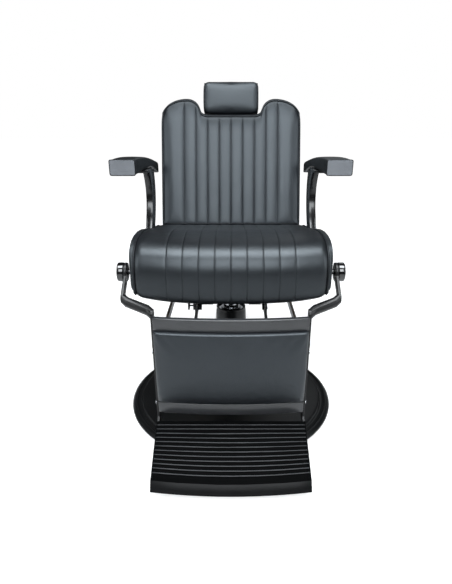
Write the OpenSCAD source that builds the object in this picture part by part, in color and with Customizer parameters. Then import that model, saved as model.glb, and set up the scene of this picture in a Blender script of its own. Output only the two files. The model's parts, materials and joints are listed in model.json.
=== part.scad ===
/* [Base] */
// Diameter of the round base
base_d = 720; // [600:10:760]
// Height of the rolled rim of the base
base_rim_h = 20; // [14:1:26]
// Thickness of the flat floor plate
base_plate_t = 6; // [4:1:9]
// Height of the dished cover at its middle
base_cover_h = 70; // [55:1:90]
// Sheet thickness of the dished cover
base_cover_t = 4; // [3:0.5:5]
/* [Pump] */
// Height of the shroud's top above the floor
shroud_top = 366; // [350:1:372]
// Outside diameter of the shroud's top rim
shroud_top_d = 100; // [92:1:110]
// Outside diameter of the shroud's foot
shroud_foot_d = 158; // [140:1:180]
// Diameter of the chrome ram
ram_d = 50; // [40:1:56]
// Wall of the pump cylinder
pump_wall = 9; // [6:1:12]
// How far the ram lifts the chair
lift_travel = 160; // [120:5:180]
// Diameter of the turning pin on the ram
head_pin_d = 30; // [24:1:34]
/* [Seat frame] */
// Height of the mounting plate's underside
frame_bottom = 412; // [405:1:420]
// Thickness of the mounting plate
mount_plate_t = 8; // [6:1:10]
// Height of the seat board's underside
seat_board_z = 492; // [488:1:496]
// Thickness of the seat board
seat_board_t = 15; // [12:1:18]
// Gap between the back cushion's side and each side plate
plate_clear = 1; // [0.8:0.1:2]
// Thickness of each side plate
side_plate_t = 7; // [6:0.5:8]
// Radial clearance of turning and sliding fits
run_gap = 0.06; // [0.03:0.01:0.1]
// Gap between pieces that move past each other
side_gap = 0.5; // [0.3:0.1:1]
/* [Linkage] */
// Front to back place of the back hinge
hinge_y = 260; // [255:1:265]
// Height of the back hinge and of the footrest pivot
hinge_z = 557; // [552:1:562]
// Distance between the back hinge and the footrest pivot
pivot_span = 466; // [455:1:475]
// Length of the levers that carry the link bars
lever_len = 206; // [196:1:212]
// Forward lean of the levers from straight down
lever_lean = 30.5; // [27:0.5:33]
// Distance of the link bars' middles from the centre plane
link_x = 202; // [199:1:204]
// Thickness of the link bars and levers
link_t = 8; // [6:0.5:9]
// Depth of the link bars
link_h = 22; // [18:1:26]
// Diameter of the linkage pins
link_pin_d = 12; // [10:1:14]
// Full recline of the back
recline_max = 35; // [20:1:36]
/* [Gas struts] */
// Distance of each strut from the centre plane
strut_x = 110; // [106:1:112]
// Length of the strut levers
strut_lever = 110; // [104:1:116]
// Outside diameter of the strut cylinders
strut_d = 18; // [16:1:24]
// Diameter of the strut rods
strut_rod_d = 10; // [8:1:12]
// How far the strut's front anchor lies ahead of the footrest pivot
anchor_ahead = 44; // [38:1:50]
// Height of the strut's front anchor
anchor_z = 378; // [374:1:384]
// Distance from the front anchor to the strut's collar at rest
rod_show = 148; // [140:1:160]
/* [Seat cushion] */
// How far the seat cushion reaches ahead of the footrest pivot
seat_ahead = 98; // [80:2:102]
// Front to back place of the seat's rear face
seat_rear_y = 224; // [220:1:226]
// Height of the seat's front roll above its board
seat_roll_h = 158; // [140:1:165]
// Height of the seat's rear above its board
seat_rear_h = 105; // [100:1:112]
// How far the seat's front bows forward
seat_bow = 22; // [10:1:26]
// Width of each sewn channel
channel_w = 44; // [40:1:46]
// Depth of the sewn channels
channel_depth = 5; // [3:0.5:6]
// Thickness of the seat's side panels
side_panel_t = 11; // [9:0.5:12]
/* [Back] */
// Lean of the backrest when upright
back_lean = 16.5; // [14:0.5:19]
// Width of the backrest
back_w = 526; // [500:2:526]
// Distance of the backrest's bottom from the hinge
back_low = 30; // [28:1:36]
// Distance of the lobe tops from the hinge
back_top = 510; // [490:1:530]
// Depth of the notch that holds the headrest
notch_depth = 58; // [50:1:66]
// Thickness of the back cushion
back_pad_t = 62; // [55:1:64]
// Radius of the backrest's upper corners
back_corner_r = 95; // [80:1:110]
// Distance of the backrest's front face ahead of the hinge
back_front = 17; // [14:1:20]
// Thickness of the back board
back_board_t = 10; // [8:1:12]
// Thickness of the rear shell
back_shell_t = 20; // [18:1:24]
/* [Headrest] */
// Width of the headrest
head_w = 209; // [190:1:215]
// Height of the headrest
head_h = 119; // [95:1:125]
// Thickness of the headrest
head_t = 74; // [66:1:80]
// How far the headrest slides up
head_travel = 120; // [80:5:130]
// Width of the headrest bar
head_bar_w = 44; // [36:1:50]
// Thickness of the headrest bar
head_bar_t = 6; // [5:0.5:7]
/* [Arms] */
// Gap between each arm pad and the side of the backrest
arm_clear = 14; // [11:1:24]
// Width of each arm pad
arm_w = 74; // [66:1:76]
// Thickness of each arm pad
arm_t = 44; // [38:1:48]
// Height of the arm pads' top
arm_top = 866; // [850:1:880]
// Front to back place of the arm pads' front
arm_front_y = -120; // [-130:1:-110]
// Length of the arm pads
arm_len = 480; // [440:5:500]
// How far the arm pads droop at the rear
arm_droop = 52; // [40:1:60]
// How far the arm posts stand out from the side plates
post_stand = 15; // [14:0.5:16]
// Thickness of the arm posts
post_t = 21; // [18:0.5:21]
// Depth of the arm posts from front to back
post_depth = 92; // [80:1:100]
/* [Footrest] */
// How far the pivot knobs stand out from the side plates
knob_stand = 59; // [56:0.5:63]
// Diameter of the pivot knobs
knob_d = 56; // [50:1:60]
// Length of the pivot knobs
knob_len = 20; // [18:0.5:24]
// Thickness of the footrest's side bars
bar_t = 7; // [6:0.5:8]
// Depth of the footrest's side bars
bar_w = 28; // [24:1:32]
// Width over the side bars at the calf panel
calf_w = 444; // [440:1:450]
// Height of the calf panel
calf_h = 316; // [310:1:340]
// Height of the strips above and below the calf pad
strip_h = 38; // [30:1:44]
// Thickness of the calf pad
calf_pad_t = 26; // [20:1:30]
// Forward bow of the calf panel
calf_bow = 13; // [8:1:16]
// Depth of the footplate from rear to front
plate_depth = 186; // [170:1:192]
// Slope of the footplate
plate_slope = 28.6; // [24:0.2:32]
// Number of ribs on the footplate
rib_count = 12; // [8:1:12]
// Plain strip of the footplate ahead of the front rib
rib_land = 20.9; // [18:0.1:30]
/* [Pedal and release lever] */
// Length of the pump pedal
pedal_len = 235; // [200:5:260]
// Down stroke of the pump pedal
pedal_stroke = 14; // [8:1:16]
// Length of the recline release lever
release_len = 150; // [130:5:160]
// Lift of the release lever
release_lift = 16; // [8:1:18]
/* [Hidden] */
// Smoothness of round parts
fine = 72;
// Overrun of cuts past a face
over = 1;
// Gap that keeps soft pieces clear of their neighbours
soft_gap = 0.3;
full = 360;
half_turn = 180;
quarter = 90;
base_r = base_d / 2;
pivot_y = hinge_y - pivot_span;
anchor_y = pivot_y - anchor_ahead;
seat_depth = seat_rear_y - pivot_y + seat_ahead;
arm_span = back_w + 2 * (arm_clear + arm_w);
side_plate_x = back_w / 2 + plate_clear;
post_out_x = side_plate_x + side_plate_t + post_stand;
knob_out_x = side_plate_x + side_plate_t + knob_stand;
seat_w2 = side_plate_x - soft_gap;
board_top = seat_board_z + seat_board_t;
// Ends of the levers at rest
lever_dy = -lever_len * sin(lever_lean);
lever_dz = -lever_len * cos(lever_lean);
link_z = hinge_z + lever_dz;
link_rear_y = hinge_y + lever_dy;
link_front_y = pivot_y + lever_dy;
pin_r = link_pin_d / 2;
// Torque tube of the back frame
tube_r = 16;
hinge_pin_r = 9;
hinge_eye_r = 21;
back_x = side_plate_x - side_gap;
// Footrest side bars
bar_in_x = knob_out_x - knob_len - bar_t - side_gap / 2;
bar_out_x = bar_in_x + bar_t;
calf_x = calf_w / 2;
eye_r = knob_d / 2 - run_gap - side_gap;
shaft_r = 8;
boss_r = 25;
// Gas strut geometry at rest
recline_mid = recline_max / 2;
strut_tilt = 8;
strut_pre = recline_mid + strut_tilt;
anchor_bow = strut_lever * (1 - cos(recline_mid)) / 2;
strut_dy = hinge_y + strut_lever * sin(strut_pre);
strut_dz = hinge_z - strut_lever * cos(strut_pre);
strut_lean = atan((strut_dz - anchor_z) / (strut_dy - anchor_y));

// A loft through rings of equal point count, closed at both ends
function flat(a) = [for (b = a) for (c = b) c];
module skin(rings) {
    n = len(rings[0]);
    m = len(rings);
    sides = [for (i = [0:m - 2]) for (j = [0:n - 1]) let (k = (j + 1) % n)
        each [[i * n + j, i * n + k, (i + 1) * n + k], [i * n + j, (i + 1) * n + k, (i + 1) * n + j]]];
    first = [for (j = [1:n - 2]) [0, j + 1, j]];
    last = [for (j = [1:n - 2]) [(m - 1) * n, (m - 1) * n + j, (m - 1) * n + j + 1]];
    polyhedron(points = flat(rings), faces = concat(sides, first, last));
}
// A flat plate in the side view, from x0 outwards by t, on both sides or one
module side_slab(x0, t) {
    translate([x0, 0, 0]) rotate([quarter, 0, quarter]) linear_extrude(t) children();
}
module rod_x(r, x0, x1, y, z) {
    translate([x0, y, z]) rotate([0, quarter, 0]) cylinder(r = r, h = x1 - x0, $fn = fine);
}
module bar_2d(y0, z0, y1, z1, w) {
    translate([y0, z0]) rotate(atan2(z1 - z0, y1 - y0)) translate([0, -w / 2])
        square([norm([y1 - y0, z1 - z0]), w]);
}
// A flat strap with a slightly wider round eye at each end
eye_share = 1.06;
module strap_2d(y0, z0, y1, z1, w) {
    bar_2d(y0, z0, y1, z1, w);
    translate([y0, z0]) circle(d = w * eye_share, $fn = fine);
    translate([y1, z1]) circle(d = w * eye_share, $fn = fine);
}
module mirrored_x(side) {
    mirror([side > 0 ? 0 : 1, 0, 0]) children();
}
module both_x() {
    children();
    mirror([1, 0, 0]) children();
}
// The back's own frame: origin on the hinge, up along the backrest
module back_space() {
    translate([0, hinge_y, hinge_z]) rotate([-back_lean, 0, 0]) children();
}

// Base
rim_in_share = 0.955;
rim_flat_share = 0.975;
rim_edge_share = 0.6;
ring_r = base_r * 0.94;
ring_w = 16;
ring_h = 5;
groove_gap = 0.3;
module base_plate() {
    color([0.05, 0.05, 0.055]) rotate_extrude($fn = fine * 2) difference() {
        polygon([[0, 0], [base_r * rim_flat_share, 0], [base_r, base_rim_h * rim_edge_share / 2],
            [base_r, base_rim_h * rim_edge_share], [base_r * rim_flat_share, base_rim_h],
            [base_r * rim_in_share, base_rim_h], [base_r * rim_in_share, base_plate_t],
            [0, base_plate_t]]);
        translate([ring_r - ring_w - groove_gap, -over])
            square([ring_w + 2 * groove_gap, ring_h + over]);
    }
}
module floor_ring() {
    color([0.03, 0.03, 0.03]) difference() {
        cylinder(r = ring_r, h = ring_h, $fn = fine * 2);
        translate([0, 0, -over]) cylinder(r = ring_r - ring_w, h = ring_h + 2 * over, $fn = fine * 2);
    }
}
// The cover's outline: a flat border, a step, and a dish that climbs to the pump
cover_shares = [[0.954, 0.1], [0.954, 0.235], [0.925, 0.285], [0.912, 0.285], [0.9, 0.4],
    [0.885, 0.43], [0.78, 0.49], [0.62, 0.58], [0.45, 0.7], [0.33, 0.82], [0.25, 0.95], [0.225, 1]];
cover_hole_r = 60;
module base_cover() {
    outer = [for (p = cover_shares) [p[0] * base_r, p[1] * base_cover_h]];
    n = len(outer);
    inner = [for (i = [n - 1:-1:0]) [outer[i][0] - (i < 2 ? base_cover_t : 0),
        max(outer[i][1] - (i < 1 ? 0 : base_cover_t), outer[0][1])]];
    color([0.05, 0.05, 0.055]) rotate_extrude($fn = fine * 2)
        polygon(concat(outer, [[cover_hole_r, base_cover_h],
            [cover_hole_r, base_cover_h - base_cover_t]], inner));
}

// Pump
pump_in_r = ram_d / 2 + run_gap;
pump_out_r = pump_in_r + pump_wall;
pump_flange_r = 56;
pump_flange_h = 12;
pump_floor = 14;
gland_h = 12;
gland_t = 5;
pump_top = shroud_top - gland_h - gland_t;
shroud_t = 3;
module pump_cylinder() {
    color([0.1, 0.1, 0.11]) difference() {
        union() {
            translate([0, 0, base_plate_t]) cylinder(r = pump_flange_r, h = pump_flange_h, $fn = fine);
            translate([0, 0, base_plate_t]) cylinder(r = pump_out_r, h = pump_top - base_plate_t, $fn = fine);
        }
        translate([0, 0, base_plate_t + pump_floor])
            cylinder(r = pump_in_r, h = pump_top, $fn = fine);
    }
}
shroud_shares = [[1, 0], [0.94, 0.02], [0.84, 0.1], [0.77, 0.22], [0.72, 0.38], [0.69, 0.6],
    [0.667, 0.8], [0.652, 0.94]];
module pump_shroud() {
    h = shroud_top - base_cover_h;
    body = [for (p = shroud_shares) [p[0] * shroud_foot_d / 2, base_cover_h + p[1] * h]];
    lip = [[shroud_top_d / 2, shroud_top - shroud_t * 2], [shroud_top_d / 2, shroud_top]];
    n = len(body);
    inside = [[shroud_top_d / 2 - shroud_t * 2, shroud_top],
        for (i = [n - 1:-1:0]) [body[i][0] - shroud_t, body[i][1]]];
    color([0.05, 0.05, 0.055]) rotate_extrude($fn = fine) polygon(concat(body, lip, inside));
}
module gland_ring() {
    color([0.75, 0.75, 0.77]) translate([0, 0, pump_top]) difference() {
        union() {
            cylinder(r = shroud_top_d / 2 - shroud_t * 2 - soft_gap, h = gland_h, $fn = fine);
            cylinder(r = pump_out_r - over, h = gland_h + gland_t, $fn = fine);
        }
        translate([0, 0, -over]) cylinder(r = pump_in_r, h = gland_h + gland_t + 2 * over, $fn = fine);
    }
}
head_h2 = frame_bottom - shroud_top;
head_share = 0.4;
ram_top = shroud_top + head_h2 * head_share;
head_pin_h = 42;
head_r = 36;
module pump_ram() {
    color([0.8, 0.8, 0.82]) {
        translate([0, 0, base_plate_t + pump_floor]) cylinder(d = ram_d, h = ram_top - base_plate_t - pump_floor, $fn = fine);
        translate([0, 0, ram_top]) cylinder(d = head_pin_d, h = head_pin_h, $fn = fine);
    }
}
// Head that turns on the ram's pin and carries the mounting plate
head_wall = 5;
module pump_head() {
    z0 = ram_top + groove_gap;
    color([0.06, 0.06, 0.06]) difference() {
        union() {
            translate([0, 0, z0]) cylinder(r = head_r, h = frame_bottom - z0, $fn = fine);
            translate([0, 0, frame_bottom]) cylinder(d = head_pin_d + 2 * head_wall + head_wall, h = head_pin_h - (frame_bottom - ram_top) + head_wall, $fn = fine);
        }
        translate([0, 0, z0 - over]) cylinder(d = head_pin_d + 2 * run_gap, h = head_pin_h + over + groove_gap, $fn = fine);
    }
}
mount_w = 172;
mount_depth = 170;
bolt_d = 12;
bolt_inset = 22;
bolt_head_h = 7;
rail_x = 68;
rail_w = 34;
rail_h = seat_board_z - frame_bottom - mount_plate_t;
module mount_plate() {
    color([0.07, 0.07, 0.07]) difference() {
        translate([-mount_w / 2, -mount_depth / 2, frame_bottom]) cube([mount_w, mount_depth, mount_plate_t]);
        translate([0, 0, frame_bottom - over]) cylinder(d = head_pin_d + 3 * head_wall + 2 * groove_gap, h = mount_plate_t + 2 * over, $fn = fine);
        for (x = [-rail_x, rail_x]) for (y = [-1, 1]) translate([x, y * (mount_depth / 2 - bolt_inset), frame_bottom - over])
            cylinder(d = bolt_d + 2 * groove_gap, h = mount_plate_t + 2 * over, $fn = fine);
    }
}
module mount_bolts() {
    color([0.7, 0.7, 0.72]) for (x = [-rail_x, rail_x]) for (y = [-1, 1])
        translate([x, y * (mount_depth / 2 - bolt_inset), frame_bottom]) {
            cylinder(d = bolt_d, h = mount_plate_t, $fn = fine);
            translate([0, 0, -bolt_head_h]) cylinder(d = bolt_d * 1.8, h = bolt_head_h, $fn = 6);
        }
}

// Seat frame
rail_ahead = 69;
rail_front_y = pivot_y - rail_ahead;
rail_back_y = 196;
rail_taper = 111;
rail_taper_y = pivot_y + rail_taper;
rail_tip = 10;
pedal_pin_y = 110;
pedal_pin_z = 446;
pedal_pin_r = 7;
module seat_rails() {
    color([0.06, 0.06, 0.065]) {
        both_x() side_slab(rail_x - rail_w / 2, rail_w) difference() {
            polygon([[rail_front_y, seat_board_z], [rail_front_y, seat_board_z - rail_tip],
                [rail_taper_y, seat_board_z - rail_h], [rail_back_y, seat_board_z - rail_h],
                [rail_back_y, seat_board_z]]);
        }
        rod_x(pedal_pin_r, -rail_x + rail_w / 2, rail_x - rail_w / 2, pedal_pin_y, pedal_pin_z);
    }
}
cross_t = 8;
cross_w = 46;
cross_front_y = -150;
cross_rear_y = 130;
module cross_tubes() {
    color([0.06, 0.06, 0.065]) both_x() for (y = [cross_front_y, cross_rear_y])
        translate([rail_x + rail_w / 2, y - cross_w / 2, seat_board_z - cross_t])
            cube([side_plate_x - rail_x - rail_w / 2, cross_w, cross_t]);
}
plate_strap_w = 58;
plate_low_y = 190;
plate_low_z = seat_board_z - cross_t - link_t;
release_y = 214;
release_z = 532;
release_pin_r = 5;
release_t = 6;
hinge_head_t = 5;
release_x = side_plate_x + side_plate_t + hinge_head_t + 2 * side_gap;
module side_plate_2d() {
    difference() {
        union() {
            strap_2d(pivot_y, hinge_z, hinge_y, hinge_z, plate_strap_w);
            translate([-plate_low_y, plate_low_z]) square([2 * plate_low_y, hinge_z - plate_low_z]);
        }
        translate([pivot_y, hinge_z]) circle(r = shaft_r, $fn = fine);
        translate([hinge_y, hinge_z]) circle(r = hinge_pin_r, $fn = fine);
    }
}
module side_plate_right() {
    color([0.06, 0.06, 0.065]) side_slab(side_plate_x, side_plate_t) side_plate_2d();
}
module side_plate_left() {
    color([0.06, 0.06, 0.065]) {
        mirror([1, 0, 0]) side_slab(side_plate_x, side_plate_t) side_plate_2d();
        rod_x(release_pin_r, -release_x - release_t - side_gap, -side_plate_x - side_plate_t, release_y, release_z);
        rod_x(release_pin_r * 1.7, -release_x + side_gap, -side_plate_x - side_plate_t, release_y, release_z);
        rod_x(release_pin_r * 1.7, -release_x - release_t - 4 * side_gap - release_t / 2,
            -release_x - release_t - side_gap, release_y, release_z);
    }
}
board_ahead = 62;
board_front_y = pivot_y - board_ahead;
board_rear_y = 211;
board_side = 3;
board_bow = 68;
board_arc_n = 16;
module seat_board() {
    w2 = side_plate_x - board_side;
    color([0.5, 0.38, 0.25]) translate([0, 0, seat_board_z]) linear_extrude(seat_board_t) polygon(concat(
        [[-w2, board_rear_y]], [for (i = [0:board_arc_n]) let (t = 2 * i / board_arc_n - 1)
            [t * w2, board_front_y + board_bow * t * t]], [[w2, board_rear_y]]));
}
hanger_t = 5;
hanger_w = 26;
anchor_pin_r = 5;
eye_w = 11;
module strut_anchor() {
    color([0.08, 0.08, 0.08]) both_x() {
        side_slab(strut_x - eye_w / 2 - hanger_t - side_gap, hanger_t) {
            translate([anchor_y - hanger_w / 2, anchor_z - anchor_bow]) square([hanger_w, seat_board_z - anchor_z + anchor_bow]);
            translate([anchor_y, anchor_z - anchor_bow]) circle(d = hanger_w, $fn = fine);
        }
    }
}
module strut_pins() {
    color([0.75, 0.75, 0.77]) both_x() {
        rod_x(anchor_pin_r, strut_x - eye_w / 2 - side_gap, strut_x + eye_w / 2 + side_gap, anchor_y, anchor_z - anchor_bow);
        rod_x(eye_out_r, strut_x + eye_w / 2 + side_gap, strut_x + eye_w / 2 + side_gap + pin_head_t, anchor_y, anchor_z - anchor_bow);
    }
}
pin_head_t = 3;

// Seat cushion: a side profile carried across, drawn in at the seams and at both ends
seat_h_gap = board_top + soft_gap;
// Places along the depth from the front, and heights between the board and the roll
seat_front_shares = [[0.05, 0], [0.018, 0.06], [0.003, 0.25], [0, 0.46], [0.008, 0.62], [0.03, 0.77],
    [0.065, 0.88], [0.115, 0.955], [0.18, 0.992], [0.25, 1]];
seat_top_shares = [[0.34, 0.985], [0.45, 0.93], [0.56, 0.86], [0.68, 0.79], [0.8, 0.72], [0.9, 0.665], [0.96, 0.625]];
seat_back_shares = [[0.992, 0.55], [1, 0.42], [1, 0.1], [0.985, 0]];
seat_n = 8;
// Depth share of a seam at a distance from the middle, fading out past the last seam
function seam_at(a, last) = a <= last ? pow(abs(2 * (a / channel_w - floor(a / channel_w)) - 1), 3)
    : pow(max(0, 1 - 2 * (a - last) / channel_w), 3);
function seat_pt(s) = [seat_rear_y - seat_depth * (1 - s[0]), s[1]];
function seat_ring(x) = let (
        t = abs(x) / seat_w2,
        seam = seam_at(abs(x), channel_w * seat_n / 2),
        edge = pow(max(0, (t - edge_share) / (1 - edge_share)), 2),
        yc = seat_rear_y - seat_depth / 2,
        zc = seat_roll_h / 2,
        bow = seat_bow * (1 - t * t))
    [for (s = concat(seat_front_shares, seat_top_shares, seat_back_shares)) let (
        p = seat_pt(s),
        rise = seat_roll_h,
        up = s[0] < lift_share && s[1] < low_lift_share ? side_lift * t * t * (1 - s[1] / low_lift_share) : 0,
        z = s[1] * rise + up,
        face = s[0] < back_face_share && s[1] > low_face_share ? 1 : 0,
        cut = face * (seam * channel_depth) + edge * edge_in,
        v = [p[0] - yc, (z - zc) * v_share],
        u = v / norm(v),
        fwd = bow * pow(1 - s[0], 2))
        [x, p[0] - u[0] * cut - fwd, seat_h_gap + max(0, z - (s[1] > 0 ? u[1] * cut : 0))]];
edge_share = 0.9;
edge_in = 6;
lift_share = 0.1;
low_lift_share = 0.3;
side_lift = 8;
back_face_share = 0.97;
low_face_share = 0.05;
v_share = 2.4;
seam_stops = [0, 0.15, 0.5, 0.85];
edge_stops = [0.438, 0.598, 0.739, 0.86, 0.94, 1];
function seat_x() = let (
        a = [for (i = [0:seat_n / 2 - 1]) for (s = seam_stops) (i + s) * channel_w],
        last = (seat_n / 2 + 0.5) * channel_w,
        b = [for (s = edge_stops) last + s * (seat_w2 - last)],
        half = concat(a, [for (s = [0, 0.15, 0.5]) (seat_n / 2 + s) * channel_w], b),
        n = len(half))
    concat([for (i = [n - 1:-1:1]) -half[i]], half);
module seat_cushion() {
    color([0.09, 0.09, 0.1]) skin([for (x = seat_x()) seat_ring(x)]);
}
// Side panels, cut round the posts' roots and the pivots' bosses
panel_rise = 27;
panel_low = seat_board_z + panel_rise;
panel_front_y = board_front_y;
panel_end_y = 182;
panel_rear_h = 74;
panel_shares = [[0.027, 0], [0.009, 0.095], [0, 0.28], [0, 1.2], [0.009, 1.42], [0.031, 1.61], [0.067, 1.74],
    [0.118, 1.85], [0.196, 1.905], [0.32, 1.89], [0.449, 1.79], [0.578, 1.64], [0.718, 1.48], [0.858, 1.34],
    [0.976, 1.22], [1, 1.1], [1, 0]];
panel_gap = 0.3;
box_share = 0.985;
plate_eye_r = plate_strap_w / 2 * eye_share;
function box_pt(s) = [seat_rear_y - seat_depth * (1 - s[0]) * box_share, seat_h_gap + s[1] * seat_roll_h * box_share];
module seat_side(side) {
    inner_x = side_plate_x + soft_gap;
    outer_x = side_plate_x + side_plate_t + panel_gap;
    color([0.09, 0.09, 0.1]) mirrored_x(side) {
        side_slab(outer_x, side_panel_t) difference() {
            polygon([for (s = panel_shares) [panel_front_y + s[0] * (panel_end_y - panel_front_y), panel_low + s[1] * panel_rear_h]]);
            translate([pivot_y, hinge_z]) circle(r = boss_r + soft_gap, $fn = fine);
            post_root_2d(soft_gap);
            translate([root_y - soft_gap, root_top]) square([panel_end_y, panel_rear_h]);
        }
        // Boxing that wraps the front roll and covers the side plate's top
        side_slab(inner_x, outer_x - inner_x + over) difference() {
            polygon(concat([for (s = concat(seat_front_shares, seat_top_shares)) box_pt(s)], [[seat_rear_y, seat_h_gap]]));
            translate([pivot_y - plate_eye_r - soft_gap, seat_board_z])
                square([seat_depth, hinge_z + plate_eye_r + soft_gap - seat_board_z]);
            translate([root_y - soft_gap, seat_board_z]) square([seat_depth, seat_roll_h * 2]);
        }
    }
}
module seat_side_left() { seat_side(-1); }
module seat_side_right() { seat_side(1); }

// Arm posts: a root on the side plate, a curved column and a bracket under the pad
root_y = -20;
root_low = seat_board_z + 34;
root_w = 116;
root_rise = 6;
root_top = hinge_z + plate_strap_w / 2 + root_rise;
bracket_t = 8;
bracket_gap = 0.3;
bracket_front_y = 14;
bracket_len = 100;
arm_low = arm_top - arm_t;
post_top = arm_low - bracket_gap - bracket_t;
module post_root_2d(gap) {
    translate([root_y - gap, root_low - gap]) square([root_w + 2 * gap, root_top - root_low + 2 * gap]);
}
function bez(a, b, c, t) = (1 - t) * (1 - t) * a + 2 * t * (1 - t) * b + t * t * c;
post_steps = 14;
post_foot_y = -10;
post_mid_y = 140;
post_head_y = 50;
post_waist = 74;
post_mid_share = 0.55;
module post_2d() {
    h = post_top - root_top;
    f = [for (i = [0:post_steps]) let (t = i / post_steps)
        [bez(post_foot_y, post_mid_y, post_head_y, t), bez(root_top - over, root_top + h * post_mid_share, post_top, t)]];
    g = [for (i = [post_steps:-1:0]) let (t = i / post_steps, w = post_waist + (post_depth - post_waist) * pow(2 * t - 1, 2))
        [bez(post_foot_y, post_mid_y, post_head_y, t) + w, bez(root_top - over, root_top + h * post_mid_share, post_top, t)]];
    polygon(concat(f, g));
}
module arm_post(side) {
    root_x = side_plate_x + side_plate_t;
    in_x = post_out_x - post_t;
    color([0.04, 0.04, 0.045]) mirrored_x(side) {
        side_slab(root_x, post_out_x - root_x) post_root_2d(0);
        side_slab(in_x, post_t) post_2d();
        translate([in_x, bracket_front_y, post_top]) difference() {
            cube([bracket_out_x - in_x, bracket_len, bracket_t]);
            for (y = bolt_shares) translate([(bracket_out_x - in_x) * bolt_x_share, y * bracket_len, -over])
                cylinder(d = arm_bolt_d + 2 * groove_gap, h = bracket_t + 2 * over, $fn = fine);
        }
    }
}
bracket_in = 17;
bracket_out_x = arm_span / 2 - bracket_in;
bolt_shares = [0.14, 0.86];
bolt_x_share = 0.72;
arm_bolt_d = 8;
arm_bolt_head = 5;
module arm_post_left() { arm_post(-1); }
module arm_post_right() { arm_post(1); }
module arm_bolts() {
    in_x = post_out_x - post_t;
    color([0.75, 0.75, 0.77]) both_x() for (y = bolt_shares)
        translate([in_x + (bracket_out_x - in_x) * bolt_x_share, bracket_front_y + y * bracket_len, post_top]) {
            translate([0, 0, -arm_bolt_head]) cylinder(d = arm_bolt_d * 1.8, h = arm_bolt_head, $fn = fine);
            cylinder(d = arm_bolt_d, h = bracket_t, $fn = fine);
        }
}
// Arm pads: rounded sections along the arm that droop behind the post
arm_y_shares = [0, 0.012, 0.035, 0.08, 0.2, 0.34, 0.46, 0.56, 0.66, 0.76, 0.86, 0.93, 0.97, 0.99, 1];
arm_in_shares = [0.12, 0.05, 0.015, 0, 0, 0, 0, 0, 0, 0, 0.02, 0.06, 0.12, 0.2, 0.32];
arm_ring_n = 28;
droop_start_share = 0.52;
pad_power = 0.42;
function soft_pow(v, p) = sign(v) * pow(abs(v), p);
function arm_ring(k) = let (
        s = arm_y_shares[k],
        cut = arm_in_shares[k] * arm_t,
        w = arm_w / 2 - cut,
        d = max(0, (s - droop_start_share) / (1 - droop_start_share)),
        e = max(0, (s - crown_start_share) / (1 - crown_start_share)),
        low = arm_low - arm_droop * pow(d, droop_power),
        top = arm_top - arm_droop * pow(e, crown_power),
        h = (top - low) / 2 - cut,
        z = (top + low) / 2)
    [for (i = [0:arm_ring_n - 1]) let (a = full * i / arm_ring_n)
        [arm_span / 2 - arm_w / 2 + w * soft_pow(cos(a), pad_power), arm_front_y + s * arm_len, z + h * soft_pow(sin(a), pad_power)]];
droop_power = 1.7;
crown_start_share = 0.12;
crown_power = 1.6;
module arm_pad_right() {
    color([0.09, 0.09, 0.1]) skin([for (k = [0:len(arm_y_shares) - 1]) [for (i = [arm_ring_n - 1:-1:0]) arm_ring(k)[i]]]);
}
module arm_pad_left() { mirror([1, 0, 0]) arm_pad_right(); }

// Pivot knobs with their shafts, and the back's hinge pins
knob_chamfer = 9;
module pivot_knob(side) {
    color([0.04, 0.04, 0.045]) mirrored_x(side) {
        rod_x(shaft_r, side_plate_x, knob_out_x - knob_len, pivot_y, hinge_z);
        rod_x(boss_r, side_plate_x + side_plate_t, bar_in_x - side_gap / 2, pivot_y, hinge_z);
        translate([knob_out_x - knob_len, pivot_y, hinge_z]) rotate([0, quarter, 0]) {
            cylinder(d = knob_d, h = knob_len - knob_chamfer, $fn = fine);
            translate([0, 0, knob_len - knob_chamfer]) cylinder(d1 = knob_d, d2 = knob_d - 2 * knob_chamfer, h = knob_chamfer, $fn = fine);
        }
    }
}
module pivot_knob_left() { pivot_knob(-1); }
module pivot_knob_right() { pivot_knob(1); }
hinge_pin_in = 34;
module hinge_pins() {
    color([0.7, 0.7, 0.72]) both_x() {
        rod_x(hinge_pin_r, side_plate_x - hinge_pin_in, side_plate_x + side_plate_t, hinge_y, hinge_z);
        rod_x(hinge_pin_r + hinge_head_t, side_plate_x + side_plate_t, side_plate_x + side_plate_t + hinge_head_t, hinge_y, hinge_z);
    }
}

// Back frame: torque tube with levers below and two uprights behind the board
lever_w = 30;
upright_x = 150;
upright_w = 36;
upright_t = 8;
upright_top = 400;
upright_low = -6;
strut_pin_r = 6;
strut_lever_t = 8;
board_y = back_pad_t - back_front + soft_gap;
upright_y = board_y + back_board_t;
module back_frame() {
    color([0.06, 0.06, 0.065]) {
        difference() {
            rod_x(tube_r, -back_x, back_x, hinge_y, hinge_z);
            both_x() rod_x(hinge_pin_r + run_gap, side_plate_x - hinge_pin_in - over, side_plate_x, hinge_y, hinge_z);
        }
        both_x() side_slab(link_x + link_t / 2 + side_gap, link_t) crank_2d();
        both_x() rod_x(pin_r, link_x - link_t / 2 - side_gap, link_x + link_t / 2 + side_gap + over, link_rear_y, link_z);
        both_x() side_slab(strut_x + eye_w / 2 + side_gap, strut_lever_t) lever_2d(strut_dy, strut_dz);
        both_x() rod_x(strut_pin_r, strut_x - eye_w / 2 - side_gap, strut_x + eye_w / 2 + side_gap + over, strut_dy, strut_dz);
        both_x() translate([upright_x - upright_w / 2, 0, 0]) back_space() rotate([quarter, 0, quarter]) linear_extrude(upright_w) difference() {
            union() {
                translate([upright_y, upright_low]) square([upright_t, upright_top - upright_low]);
                bar_2d(0, 0, upright_y + upright_t / 2, 0, lever_w * gusset_share);
            }
            circle(r = tube_r - over, $fn = fine);
        }
    }
}
gusset_share = 0.6;
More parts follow.
